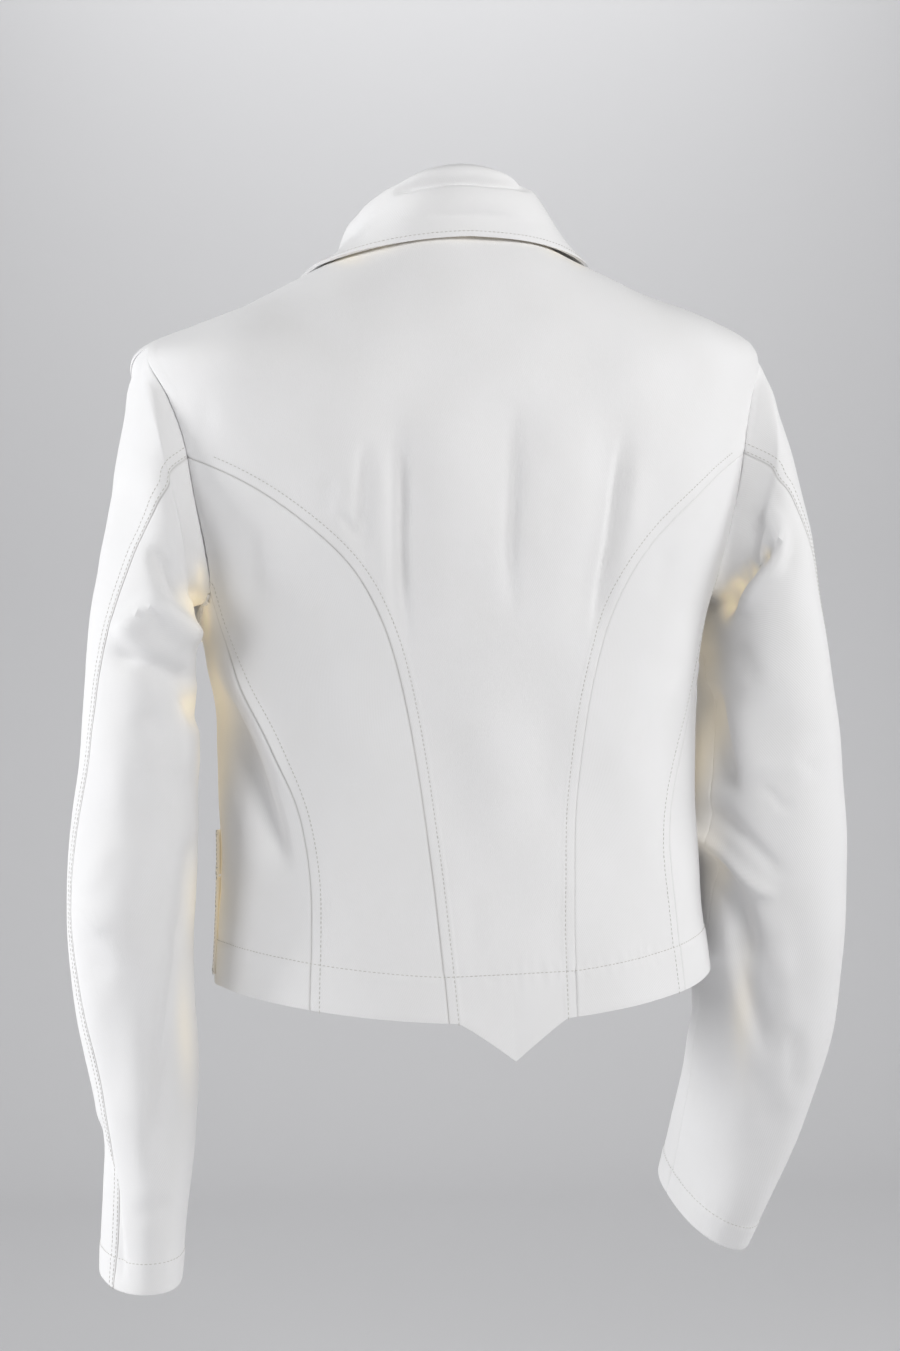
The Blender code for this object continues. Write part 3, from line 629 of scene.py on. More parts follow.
class CreaseField:
    """All the creases of some pieces, read at points of the frame."""

    scale: float = 1.548
    turn: float = 0.55
    reach: float = 3.2
    step: float = 7.0

    def __init__(self, picture: Picture, creases: Sequence[Crease]) -> None:
        """Keep the view and the creases, with their lines made smooth."""
        self.picture = picture
        self.creases = creases
        self.lines = [smooth_line(crease.line, self.step) for crease in creases]

    def depth(self, points: Array, normals: Array) -> Array:
        """How far the cloth lies under its form, in metres."""
        total = np.zeros(points.shape[:-1])
        for face in Face:
            mirror = np.array((1.0, float(face.value), 1.0))
            places = self.picture.project(points * mirror)
            facing = smooth_step((-(normals * mirror) @ self.picture.forward + self.turn) / self.turn)
            for crease, line in zip(self.creases, self.lines):
                if crease.face is face:
                    total += self.one(crease, line, places) * facing
        return total * MM

    def one(self, crease: Crease, line: Array, places: Array) -> Array:
        """Depth of one crease at picture places, in mm."""
        reach = crease.width * self.reach * self.scale * (1 + abs(crease.lean))
        low, high = line.min(axis=0) - reach, line.max(axis=0) + reach
        near = np.all((places > low) & (places < high), axis=-1)
        result = np.zeros(places.shape[:-1])
        if not near.any():
            return result
        spots = places[near]
        best, side, share = np.full(len(spots), np.inf), np.zeros(len(spots)), np.zeros(len(spots))
        for index, (start, end) in enumerate(zip(line[:-1], line[1:])):
            run, offset = end - start, spots - start
            part = np.clip(offset @ run / (run @ run), 0, 1)
            distance = np.linalg.norm(offset - part[:, None] * run, axis=1)
            closer = distance < best
            side = np.where(closer, np.sign(run[0] * offset[:, 1] - run[1] * offset[:, 0]), side)
            share = np.where(closer, (index + part) / (len(line) - 1), share)
            best = np.where(closer, distance, best)
        width = crease.width * self.scale * (1 + crease.lean * side)
        ends = smooth_step(share / crease.fade) * smooth_step((1 - share) / crease.fade)
        result[near] = crease.depth * ends * np.exp(-((best / width) ** 2))
        return result


@dataclass(frozen=True)
class Glow:
    """A picture place painted with cream light bounced back from cloth close by, with its reach in picture
    steps.
    """

    x: float
    y: float
    reach: float
    strength: float
    tall: float = 1.0


# Painted bounce light on the sleeves: places in their folds and underarms that are tinted cream and glow.
SLEEVE_GLOWS: tuple[Glow, ...] = (
    Glow(196, 606, 12, 0.90, 1.5),
    Glow(200, 575, 6, 0.40, 2.0),
    Glow(194, 706, 12, 0.70, 1.5),
    Glow(204, 760, 8, 0.40, 3.0),
    Glow(194, 900, 7, 0.35, 6.0),
    Glow(188, 1030, 8, 0.30, 7.0),
    Glow(726, 606, 6, 0.95, 2.2),
    Glow(736, 588, 7, 0.95, 1.3),
    Glow(748, 573, 6, 0.80, 0.9),
    Glow(762, 558, 6, 0.70, 0.7),
    Glow(708, 650, 10, 0.40, 4.0),
    Glow(706, 760, 9, 0.40, 5.0),
    Glow(716, 716, 9, 0.35, 4.0),
    Glow(714, 860, 10, 0.25, 4.0),
    Glow(742, 1010, 10, 0.22, 5.0),
)
# Painted light on the body: cream bounce light along its left side, and a row under the collar's lower edge
# that lightens the shadow there.
BODY_GLOWS: tuple[Glow, ...] = (
    Glow(205, 620, 6, 0.75, 4.0),
    Glow(212, 690, 12, 0.62, 3.8),
    Glow(214, 780, 12, 0.60, 5.0),
    Glow(215, 900, 9, 0.55, 8.0),
    Glow(345, 256, 20, 0.30, 0.4),
    Glow(376, 243, 20, 0.35, 0.4),
    Glow(414, 234, 22, 0.40, 0.35),
    Glow(457, 231, 24, 0.45, 0.3),
    Glow(502, 231, 24, 0.50, 0.3),
    Glow(540, 236, 18, 0.60, 0.4),
    Glow(564, 246, 14, 0.70, 0.6),
    Glow(584, 257, 10, 0.80, 0.7),
)


class GlowField:
    """The places painted with bounce light, read at points of the frame."""

    turn: float = 0.5

    def __init__(self, picture: Picture, glows: Sequence[Glow]) -> None:
        """Keep the view and the places."""
        self.picture = picture
        self.glows = glows

    def strength(self, points: Array, normals: Array) -> Array:
        """How strongly each point is painted with bounce light, from 0 to 1."""
        places = self.picture.project(points)
        facing = smooth_step((-normals @ self.picture.forward + self.turn) / self.turn)
        total = np.zeros(points.shape[:-1])
        for glow in self.glows:
            offset = (places - (glow.x, glow.y)) / (glow.reach, glow.reach * glow.tall)
            total += glow.strength * np.exp(-np.sum(offset ** 2, axis=-1)) * facing
        return np.clip(total, 0.0, 1.0)


class Unevenness:
    """Slight waves of worn cloth in the whole frame, the same on both sides of a seam."""

    def __init__(self, seed: int, count: int, shortest: float, longest: float) -> None:
        """Choose the waves' directions, lengths and starts."""
        chance = np.random.default_rng(seed)
        self.ways = units(chance.normal(size=(count, 3)))
        self.lengths = chance.uniform(shortest, longest, count)
        self.starts = chance.uniform(0, 2 * math.pi, count)

    def height(self, points: Array) -> Array:
        """Height of the waves at points, from about -1 to 1."""
        total = np.zeros(points.shape[:-1])
        for way, length, start in zip(self.ways, self.lengths, self.starts):
            total += np.sin(points @ way * 2 * math.pi / length + start)
        return total / math.sqrt(len(self.ways))


# ---------------------------------------------------------------- seams and shells


CLOTH = 0.0014
CREASE_ANGLE = math.radians(50)
# Reach of the painted shade beside a seam line.
SHADE_REACH = 0.6 * MM
STITCH_LIFT = 0.00006
LINE_STEP = 0.001
NEAR_EDGE = 0.0015
WAVE = 0.8


@dataclass(frozen=True)
class Seam:
    """How one edge of a panel is sewn, in mm from the edge.

    dip is how deep the edge is pressed in, band the width of the doubled cloth and rise its
    height, rows the distances of the stitch lines and pucker the height of the puckers. span is the
    share of the edge that is sewn so, shade how strongly painted shade darkens the seam line and
    anchor the reach in which the seam holds the creases flat.
    """

    edge: str
    dip: float = 0.8
    reach: float = 2.0
    band: float = 0.0
    rise: float = 0.0
    rows: tuple[float, ...] = ()
    pucker: float = 0.0
    span: tuple[float, float] = (0.0, 1.0)
    shade: float = 0.0
    anchor: float = 0.0


@dataclass
class Panel:
    """Outer points of a panel as a grid, with its edges and its cloth's thickness."""

    name: str
    outer: Array
    outward: Array
    seams: tuple[Seam, ...] = ()
    thickness: float = CLOTH
    hem: float = 0.0
    # Masks of painted bounce light (cream colour and glow) and of painted shade along the seams.
    warm: Array | None = None
    shade: Array | None = None
    stitches: list[Array] = field(default_factory=list)

    def level(self, values: Array) -> Array:
        """Values of a grid straight across the panel, the hem's width above its bottom corners."""
        height = self.outer[..., 2]
        columns = np.arange(height.shape[1])
        wanted = np.linspace(height[0, 0], height[0, -1], len(columns)) + self.hem
        above = np.maximum(np.argmax(height > wanted, axis=0), 1)
        low, high = height[above - 1, columns], height[above, columns]
        part = ((wanted - low) / (high - low))[:, None]
        return values[above - 1, columns] * (1 - part) + values[above, columns] * part

    def edge(self, name: str, span: tuple[float, float] = (0.0, 1.0)) -> Array:
        """Points of the left, right, bottom or top edge, or a share of it, or of the level line."""
        if name == "level":
            return self.level(self.outer)
        outer = self.outer
        line = {"left": outer[:, 0], "right": outer[:, -1], "bottom": outer[0], "top": outer[-1]}[name]
        low, high = (round(share * (len(line) - 1)) for share in span)
        return line[low:high + 1]

    def normals(self) -> Array:
        """Outward unit normals of the grid."""
        normal = units(np.cross(np.gradient(self.outer, axis=1), np.gradient(self.outer, axis=0)))
        return -normal if np.sum(normal * self.outward) < 0 else normal


def distance_to(line: Array, points: Array) -> tuple[Array, Array]:
    """Distance of points from a line, and how far along the line they lie.

    Args:
        line: points of the line.
        points: any array of points.

    Returns:
        Distances and lengths along the line, in metres.
    """
    fine = resample(line, LINE_STEP)
    tree = KDTree(len(fine))
    for index, point in enumerate(fine):
        tree.insert(point, index)
    tree.balance()
    flat, shape = points.reshape(-1, 3), points.shape[:-1]
    index = np.array([tree.find(point)[1] for point in flat])
    run = units(fine[np.minimum(index + 1, len(fine) - 1)] - fine[np.maximum(index - 1, 0)])
    offset = flat - fine[index]
    along = np.clip(np.sum(offset * run, axis=1), -LINE_STEP, LINE_STEP)
    distance = np.linalg.norm(offset - along[:, None] * run, axis=1)
    length = index * np.linalg.norm(fine[1] - fine[0]) + along
    return distance.reshape(shape), length.reshape(shape)


class Tailor:
    """Gives a panel its creases, its pressed seams and its stitch lines."""

    dip_curve: float = 0.55
    band_start: float = 0.8
    band_step: float = 2.4
    row_dip: float = 0.14
    row_reach: float = 0.9
    pucker_lengths: tuple[float, float] = (8.6, 13.7)
    pucker_shift: float = 1.4
    pucker_place: float = 2.0
    pucker_reach: float = 6.0
    second_ripple: float = 0.6
    uneven: float = 0.35
    uneven_scale: float = 0.4
    shortest_line: int = 4

    def __init__(self, waves: Unevenness, ripples: Unevenness) -> None:
        """Keep the waves of the cloth and the ripples of the seams."""
        self.waves = waves
        self.ripples = ripples

    def dress(self, panel: Panel, creases: CreaseField, wave: float) -> Array:
        """Move the panel's points and trace its stitches.

        Args:
            panel: the panel, which is changed.
            creases: its creases.
            wave: height of the cloth's waves in mm.

        Returns:
            The panel's outer points before the change.
        """
        plain, normals = panel.outer, panel.normals()
        height = -creases.depth(plain, normals) + self.waves.height(plain) * wave * MM
        panel.shade = np.zeros(plain.shape[:-1])
        sewn = [(seam, *distance_to(panel.edge(seam.edge, seam.span), plain)) for seam in panel.seams]
        for seam, distance, _along in sewn:
            if seam.anchor:
                height = height * smooth_step(distance / (seam.anchor * MM))
        for seam, distance, along in sewn:
            height = height + self.seam_height(seam, distance, along, plain)
            # Painted shade along the seam line, darkest at the edge.
            line = seam.shade * np.exp(-((distance / SHADE_REACH) ** 2))
            panel.shade = np.maximum(panel.shade, line)
        panel.outer = plain + normals * height[..., None]
        surface = panel.normals()
        for seam, distance, _along in sewn:
            if seam.edge == "level":
                panel.stitches.append(panel.level(panel.outer) + panel.level(surface) * STITCH_LIFT)
                continue
            lines = [self.trace(panel, distance, seam, row * MM, surface) for row in seam.rows]
            panel.stitches += [line for line in lines if len(line) > self.shortest_line]
        return plain

    def seam_height(self, seam: Seam, distance: Array, along: Array, points: Array) -> Array:
        """Height of a sewn edge over the panel, in metres."""
        away, along = distance / MM, along / MM
        height = -seam.dip * np.exp(-away / (seam.reach * self.dip_curve))
        if seam.band:
            height = height + seam.rise * smooth_step((seam.band + self.band_start - away) / self.band_step)
        for row in seam.rows:
            height = height - self.row_dip * np.exp(-(((away - row) / self.row_reach) ** 2))
        if seam.pucker:
            shift = self.ripples.height(points) * self.pucker_shift
            first, second = (2 * math.pi / length for length in self.pucker_lengths)
            ripple = np.sin(along * first + shift) + self.second_ripple * np.sin(along * second - shift)
            centre = seam.rows[-1] if seam.rows else self.pucker_place
            reach = np.exp(-(((away - centre) / self.pucker_reach) ** 2))
            uneven = 1 - self.uneven + self.uneven * self.ripples.height(points * self.uneven_scale)
            height = height + seam.pucker * ripple * reach * uneven
        return height * MM

    def trace(self, panel: Panel, distance: Array, seam: Seam, offset: float, surface: Array) -> Array:
        """Line on the panel at an offset from an edge."""
        grid, normals, gaps = panel.outer, surface, distance
        if seam.edge in ("bottom", "top"):
            grid, normals, gaps = grid.transpose(1, 0, 2), normals.transpose(1, 0, 2), gaps.T
        if seam.edge in ("right", "top"):
            grid, normals, gaps = grid[:, ::-1], normals[:, ::-1], gaps[:, ::-1]
        low, high = (share * (len(grid) - 1) for share in seam.span)
        line = []
        for index, (row, normal, gap) in enumerate(zip(grid, normals, gaps)):
            past = np.nonzero(gap >= offset)[0]
            if not low <= index <= high or gap[0] > NEAR_EDGE or not len(past) or past[0] == 0:
                continue
            stop = past[0]
            part = (offset - gap[stop - 1]) / (gap[stop] - gap[stop - 1])
            line.append(row[stop - 1] + (row[stop] - row[stop - 1]) * part + normal[stop] * STITCH_LIFT)
        return np.array(line)


def add_mesh(name: str, points: Array, edges: Sequence, faces: Sequence) -> bpy.types.Mesh:
    """A mesh of points, edges and faces."""
    mesh = bpy.data.meshes.new(name)
    mesh.from_pydata(np.asarray(points).tolist(), edges, faces)
    return mesh


def add_object(name: str, data: bpy.types.ID | None) -> bpy.types.Object:
    """A new object in the scene."""
    item = bpy.data.objects.new(name, data)
    bpy.context.scene.collection.objects.link(item)
    return item


class Cloth:
    """Turns a dressed panel into a closed thin shell with a UV map in metres."""

    def __init__(self, material: bpy.types.Material) -> None:
        """Keep the cloth's material."""
        self.material = material

    def make(self, panel: Panel) -> bpy.types.Object:
        """The panel as an object."""
        outer, normals = panel.outer, panel.normals()
        rows, columns = outer.shape[:2]
        count = rows * columns
        corner = (np.arange(rows - 1)[:, None] * columns + np.arange(columns - 1)[None]).ravel()
        front = np.stack((corner, corner + 1, corner + columns + 1, corner + columns), axis=1)
        rim = np.concatenate((
            np.arange(columns - 1), np.arange(rows - 1) * columns + columns - 1,
            count - 1 - np.arange(columns - 1), np.arange(rows - 1, 0, -1) * columns))
        after = np.roll(rim, -1)
        edge = np.stack((after, rim, rim + count, after + count), axis=1)
        if np.cross(outer[0, 1] - outer[0, 0], outer[1, 0] - outer[0, 0]) @ normals[0, 0] < 0:
            front, edge = front[:, ::-1], edge[:, ::-1]
        points = np.concatenate((outer, outer - normals * panel.thickness)).reshape(-1, 3)
        faces = np.concatenate((front, front[:, ::-1] + count, edge))
        mesh = add_mesh(panel.name, points, [], faces.tolist())
        layer, vertex = mesh.uv_layers.new(name="cloth"), np.zeros(len(mesh.loops), dtype=np.int32)
        mesh.loops.foreach_get("vertex_index", vertex)
        layer.data.foreach_set("uv", self.flat(outer)[vertex % count].astype(np.float32).ravel())
        # The masks of painted bounce light and painted seam shade, kept on the points.
        for name, values in (("warm", panel.warm.ravel()), ("shade", panel.shade.ravel())):
            signal = mesh.attributes.new(name, "FLOAT", "POINT")
            signal.data.foreach_set("value", np.concatenate((values, values)).astype(np.float32))
        mesh.materials.append(self.material)
        mesh.shade_smooth()
        mesh.set_sharp_from_angle(angle=CREASE_ANGLE)
        return add_object(panel.name, mesh)

    @staticmethod
    def flat(outer: Array) -> Array:
        """Places of the points on flat cloth in metres, from the middle column and up it."""
        middle = outer.shape[1] // 2
        across = run_lengths(outer.transpose(1, 0, 2)).T
        across = across - across[:, middle:middle + 1]
        up = np.broadcast_to(run_lengths(outer[:, middle])[:, None], across.shape)
        return np.stack((across, up), axis=-1).reshape(-1, 2)


# ---------------------------------------------------------------- materials


Socket = bpy.types.NodeSocket
Value = "Signal | float"
Colour = tuple[float, float, float]


class Signal:
    """A float socket of a node tree that can be used in expressions."""

    def __init__(self, nodes: "Nodes", socket: Socket) -> None:
        """Keep the node maker and the socket."""
        self.nodes = nodes
        self.socket = socket

    def math(self, operation: str, *others: Value, swap: bool = False) -> "Signal":
        """A math node on this signal and others."""
        values = [self, *others][::-1 if swap else 1]
        node = self.nodes.add("ShaderNodeMath", {"operation": operation}, dict(enumerate(values)))
        return Signal(self.nodes, node.outputs[0])

    def __add__(self, other: Value) -> "Signal":
        """Sum."""
        return self.math("ADD", other)

    def __mul__(self, other: Value) -> "Signal":
        """Product."""
        return self.math("MULTIPLY", other)

    def __sub__(self, other: Value) -> "Signal":
        """Difference."""
        return self.math("SUBTRACT", other)

    def __rsub__(self, other: Value) -> "Signal":
        """Difference from a number."""
        return self.math("SUBTRACT", other, swap=True)

    __radd__, __rmul__ = __add__, __mul__

    def sin(self) -> "Signal":
        """Sine."""
        return self.math("SINE")

    def clamp(self) -> "Signal":
        """The signal kept between 0 and 1."""
        return self.math("MINIMUM", 1.0).math("MAXIMUM", 0.0)


class Nodes:
    """Makes the nodes of one tree."""

    def __init__(self, tree: bpy.types.NodeTree) -> None:
        """Keep the tree."""
        self.tree = tree

    def feed(self, node: bpy.types.Node, inputs: dict[str | int, object]) -> None:
        """Set or link a node's sockets, by name or number."""
        for name, value in inputs.items():
            socket = node.inputs[name]
            value = value.socket if isinstance(value, Signal) else value
            if isinstance(value, Socket):
                self.tree.links.new(value, socket)
            else:
                socket.default_value = (*value, 1.0) if socket.type == "RGBA" else value

    def add(self, kind: str, settings: dict[str, object] | None = None,
            inputs: dict[str | int, object] | None = None) -> bpy.types.Node:
        """A node of any kind.

        Args:
            kind: the node's type name.
            settings: its settings, which are made first.
            inputs: socket names or numbers, with a value, a socket or a signal for each.

        Returns:
            The node.
        """
        node = self.tree.nodes.new(kind)
        for name, value in (settings or {}).items():
            setattr(node, name, value)
        self.feed(node, inputs or {})
        return node

    def signal(self, node: bpy.types.Node, output: str | int = 0) -> Signal:
        """An output of a node as a signal."""
        return Signal(self, node.outputs[output])

    def painted(self, name: str) -> Signal:
        """A number that is painted on the piece's points, from 0 to 1."""
        return self.signal(self.add("ShaderNodeAttribute", {"attribute_name": name}), "Fac").clamp()

    def noise(self, vector: Socket, scale: float, detail: float = 2.0) -> Signal:
        """Noise from 0 to 1."""
        inputs = {"Vector": vector, "Scale": scale, "Detail": detail, "Roughness": 0.5}
        return self.signal(self.add("ShaderNodeTexNoise", {"noise_dimensions": "3D"}, inputs), "Fac")

    def mix(self, factor: Value, first: Colour | Socket, second: Colour | Socket) -> Socket:
        """Colour between two colours."""
        inputs = {0: factor, 6: first, 7: second}
        return self.add("ShaderNodeMix", {"data_type": "RGBA"}, inputs).outputs[2]


def new_material(name: str) -> tuple[bpy.types.Material, Nodes, bpy.types.Node]:
    """An empty Principled material, its node maker and its shader."""
    material = bpy.data.materials.new(name)
    material.use_nodes = True
    shader = material.node_tree.nodes["Principled BSDF"]
    return material, Nodes(material.node_tree), shader


@dataclass(frozen=True)
class Drill:
    """White cotton drill: a fine diagonal twill with a little unevenness of yarn."""

    name: str = "white_drill"
    colour: Colour = (0.82, 0.82, 0.83)
    # Darker colour for random unevenness of the yarn and for painted shade in the twill's grooves.
    shade: Colour = (0.77, 0.765, 0.755)
    # Cream colour of the painted bounce light.
    warm: Colour = (0.86, 0.76, 0.56)
    # Colour of the painted shade in the groove along each seam line.
    seam: Colour = (0.34, 0.325, 0.30)
    # Colour and strength of the painted glow that the bounce light mask gives off.
    through: Colour = (1.0, 0.86, 0.62)
    glow: float = 0.30
    roughness: float = 0.86
    wale: float = 0.00125
    slope: tuple[float, float] = (0.87, 0.5)
    yarn: tuple[float, float] = (0.00060, 0.00052)
    bump: float = 0.16
    relief: float = 0.00025
    sheen: float = 0.12
    sheen_roughness: float = 0.5
    specular: float = 0.25
    drift_scale: float = 260.0
    fine_scale: float = 900.0
    cloud_scale: float = 28.0
    cloud_detail: float = 4.0
    drift: float = 0.9
    yarn_height: float = 0.18
    fine_height: float = 0.5
    cloud_tone: float = 0.55
    fine_tone: float = 0.25
    groove_tone: float = 0.30
    tone_start: float = 0.2

    def make(self) -> bpy.types.Material:
        """The material."""
        material, nodes, shader = new_material(self.name)
        place = nodes.add("ShaderNodeUVMap", {"uv_map": "cloth"}).outputs[0]
        split = nodes.add("ShaderNodeSeparateXYZ", None, {0: place})
        u, v = nodes.signal(split, 0), nodes.signal(split, 1)
        drift, fine = nodes.noise(place, self.drift_scale), nodes.noise(place, self.fine_scale)
        cloudy = nodes.noise(place, self.cloud_scale, self.cloud_detail)
        slant = (u * self.slope[0] + v * self.slope[1]) * (2 * math.pi / self.wale)
        twill = (slant + drift * self.drift).sin() * 0.5 + 0.5
        yarn = (v * (2 * math.pi / self.yarn[1])).sin() * (u * (2 * math.pi / self.yarn[0])).sin()
        height = twill + yarn * self.yarn_height + fine * self.fine_height
        bump = nodes.add("ShaderNodeBump", None, {
            "Strength": self.bump, "Distance": self.relief, "Height": height})
        # Random clouds and fine noise, plus painted shade where the twill is low.
        tone = (cloudy * self.cloud_tone + fine * self.fine_tone
                + (1.0 - twill) * self.groove_tone - self.tone_start).clamp()
        # Painted bounce light: a cream tint and a faint glow where the mask is set.
        warm = nodes.painted("warm")
        cloth = nodes.mix(warm, nodes.mix(tone, self.colour, self.shade), self.warm)
        # Base colour with painted seam shade along the seam lines; the emission is the painted glow of the
        # bounce light.
        nodes.feed(shader, {
            "Base Color": nodes.mix(nodes.painted("shade"), cloth, self.seam),
            "Emission Color": nodes.mix(warm, (0.0, 0.0, 0.0), self.through), "Emission Strength": self.glow,
            "Normal": bump.outputs[0], "Roughness": self.roughness, "Sheen Weight": self.sheen,
            "Sheen Roughness": self.sheen_roughness, "Specular IOR Level": self.specular})
        return material


@dataclass(frozen=True)
class Clouded:
    """A finish of two near colours, clouded by noise of the given scale and detail."""

    name: str
    colour: Colour
    dark: Colour
    scale: float
    detail: float
    roughness: float
    rough_span: float = 0.0
    coat: float = 0.0

    def make(self) -> bpy.types.Material:
        """The material."""
        material, nodes, shader = new_material(self.name)
        cloud = nodes.noise(nodes.add("ShaderNodeTexCoord").outputs["Object"], self.scale, self.detail)
        rough = cloud * self.rough_span + self.roughness if self.rough_span else self.roughness
        colour = nodes.mix(cloud, self.colour, self.dark)
        nodes.feed(shader, {"Base Color": colour, "Roughness": rough, "Coat Weight": self.coat})
        return material


# The white thread is coloured grey: painted shade for the small dimples of the stitches. The clouding is
# random tone.
THREAD = Clouded("white_thread", (0.58, 0.57, 0.54), (0.522, 0.513, 0.486),
                 scale=2600.0, detail=1.0, roughness=0.7)
BUTTON_SHELL = Clouded("white_button_shell", (0.80, 0.79, 0.75), (0.72, 0.71, 0.67),
                       scale=240.0, detail=3.0, roughness=0.24, rough_span=0.14, coat=0.25)


@dataclass(frozen=True)
class Floor:
    """Plain pale studio floor."""

    name: str = "studio_floor"
    colour: Colour = (0.70, 0.70, 0.71)
    roughness: float = 0.9

    def make(self) -> bpy.types.Material:
        """The material."""
        material, nodes, shader = new_material(self.name)
        nodes.feed(shader, {"Base Color": self.colour, "Roughness": self.roughness})
        return material


# ---------------------------------------------------------------- stitches


@dataclass(frozen=True)
class Stitching:
    """A row of machine stitches along every line of a mesh, made by Geometry Nodes."""

    seed: int = 7
    spread: tuple[float, float] = (0.9, 1.06)
    pitch: float = 0.0029
    length: float = 0.0021
    width: float = 0.00056

    def tree(self) -> bpy.types.NodeTree:
        """The node tree."""
        tree = bpy.data.node_groups.new("stitches", "GeometryNodeTree")
        inputs = {"Geometry": "Geometry", "Pitch": "Float", "Stitch Length": "Float",
                  "Thread Width": "Float", "Seed": "Int", "Thread": "Material"}
        for name, kind in inputs.items():
            tree.interface.new_socket(name, in_out="INPUT", socket_type=f"NodeSocket{kind}")
        tree.interface.new_socket("Geometry", in_out="OUTPUT", socket_type="NodeSocketGeometry")
        nodes = Nodes(tree)
        start, end = nodes.add("NodeGroupInput").outputs, nodes.add("NodeGroupOutput")
        lines = nodes.add("GeometryNodeMeshToCurve", None, {"Mesh": start["Geometry"]})
        even = nodes.add("GeometryNodeResampleCurve", {"mode": "LENGTH"},
                         {"Curve": lines.outputs[0], "Length": start["Pitch"]})
        along = nodes.add("GeometryNodeCurveToPoints", {"mode": "EVALUATED"}, {"Curve": even.outputs[0]})
        ball = nodes.add("GeometryNodeMeshUVSphere", None, {"Segments": 6, "Rings": 4, "Radius": 0.5})
        size = nodes.add("ShaderNodeCombineXYZ", None, {
            0: start["Thread Width"], 1: start["Thread Width"], 2: start["Stitch Length"]})
        jitter = nodes.add("FunctionNodeRandomValue", {"data_type": "FLOAT"}, {
            "Min": self.spread[0], "Max": self.spread[1], "Seed": start["Seed"]})
        scale = nodes.add("ShaderNodeVectorMath", {"operation": "SCALE"}, {
            0: size.outputs[0], "Scale": jitter.outputs[1]})
        placed = nodes.add("GeometryNodeInstanceOnPoints", None, {
            "Points": along.outputs["Points"], "Rotation": along.outputs["Rotation"],
            "Instance": ball.outputs["Mesh"], "Scale": scale.outputs[0]})
        solid = nodes.add("GeometryNodeRealizeInstances", None, {0: placed.outputs[0]})
        painted = nodes.add("GeometryNodeSetMaterial", None, {
            "Geometry": solid.outputs[0], "Material": start["Thread"]})
        nodes.feed(end, {0: painted.outputs[0]})
        return tree

    def sew(self, name: str, lines: Sequence[Array], thread: bpy.types.Material) -> bpy.types.Object:
        """Stitches along lines, as one plain mesh.

        Args:
            name: the piece's name.
            lines: the stitch lines.
            thread: the thread's material.

        Returns:
            The object.
        """
        guide, tree = self.guide(name, lines), self.tree()
        modifier = guide.modifiers.new("stitches", "NODES")
        modifier.node_group = tree
        values = {"Pitch": self.pitch, "Stitch Length": self.length, "Thread Width": self.width,
                  "Seed": self.seed, "Thread": thread}
        for item in tree.interface.items_tree:
            if item.in_out == "INPUT" and item.name in values:
                modifier[item.identifier] = values[item.name]
        bpy.context.view_layer.update()
        graph = bpy.context.evaluated_depsgraph_get()
        mesh = bpy.data.meshes.new_from_object(guide.evaluated_get(graph))
        guide.modifiers.remove(modifier)
        bpy.data.objects.remove(guide)
        mesh.name = name
        if not mesh.materials:
            mesh.materials.append(thread)
        return add_object(name, mesh)

    @staticmethod
    def guide(name: str, lines: Sequence[Array]) -> bpy.types.Object:
        """The lines as a mesh of edges."""
        edges, start = [], 0
        for line in lines:
            edges += [(start + step, start + step + 1) for step in range(len(line) - 1)]
            start += len(line)
        return add_object(f"{name}_guide", add_mesh(f"{name}_guide", np.concatenate(lines), edges, []))


# ---------------------------------------------------------------- the jacket's pieces


@dataclass
class Sewer:
    """What every piece needs: the form, the view, the tailor and the cloth."""

    body: BodyForm
    picture: Picture
    tailor: Tailor
    cloth: Cloth
    stitches: list[Array] = field(default_factory=list)

    def finish(self, panel: Panel, creases: Sequence[Crease], rests_on: Sequence[str], held: str = "hung",
               wave: float = WAVE) -> None:
        """Args:
            panel: the panel, named as the CAD node that it stands for.
            creases: its creases.
            rests_on: the pieces that it lies on or hangs from; not used.
            held: how the cloth is held; not used.
            wave: height of the cloth's waves in mm.
        """
        plain = self.tailor.dress(panel, CreaseField(self.picture, creases), wave)
        # Paint bounce light on the panel at the places listed for it.
        glows = SLEEVE_GLOWS if "sleeve" in panel.name else () if "collar" in panel.name else BODY_GLOWS
        panel.warm = GlowField(self.picture, glows).strength(plain, panel.normals())
        item = self.cloth.make(panel)
        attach(item, "root")
        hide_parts(panel.name)
        width, length, area = flat_size(plain)
        self.stitches += panel.stitches
        LOG.info("%s: %d faces, cut from %.3f by %.3f m, %.4f m2", item.name, len(item.data.polygons),
                 width, length, area)

    def lay(self, name: str, side: Side, domain: Array, seams: Sequence[Seam], creases: Sequence[Crease],
            rests_on: Sequence[str], held: str = "hung", wave: float = WAVE, lift: Array | float = 0.0,
            hem: float = 0.0) -> None:
        """Make a panel that lies on the body.

        Args:
            name: the panel's name.
            side: the side of the wearer.
            domain: angles and levels of its grid, as on the left side.
            seams: how its edges are sewn.
            creases: its creases.
            rests_on: the pieces that it lies on or hangs from.
            held: how the cloth is held.
            wave: height of the cloth's waves in mm.
            lift: how far it lies off the body.
            hem: width of a hem that is stitched straight across.
        """
        angle, level = side.value * domain[..., 0], domain[..., 1]
        outer, outward = self.body.point(angle, level, lift), self.body.normal(angle, level)
        self.finish(Panel(name, outer, outward, tuple(seams), hem=hem), creases, rests_on, held, wave)


def flat_size(grid: Array) -> tuple[float, float, float]:
    """Width, length and area in metres of the cloth in a grid of points."""
    width = round(float(run_lengths(grid.transpose(1, 0, 2))[-1].max()), 3)
    length = round(float(run_lengths(grid)[-1].max()), 3)
    cells = np.cross(grid[1:, 1:] - grid[:-1, :-1], grid[1:, :-1] - grid[:-1, 1:])
    area = float(np.linalg.norm(cells, axis=-1).sum() / 2)
    return width, length, round(min(area, width * length), 4)


MIRROR = np.array((-1.0, 1.0))
TOPSTITCH = 6.3
HEM = 28.5


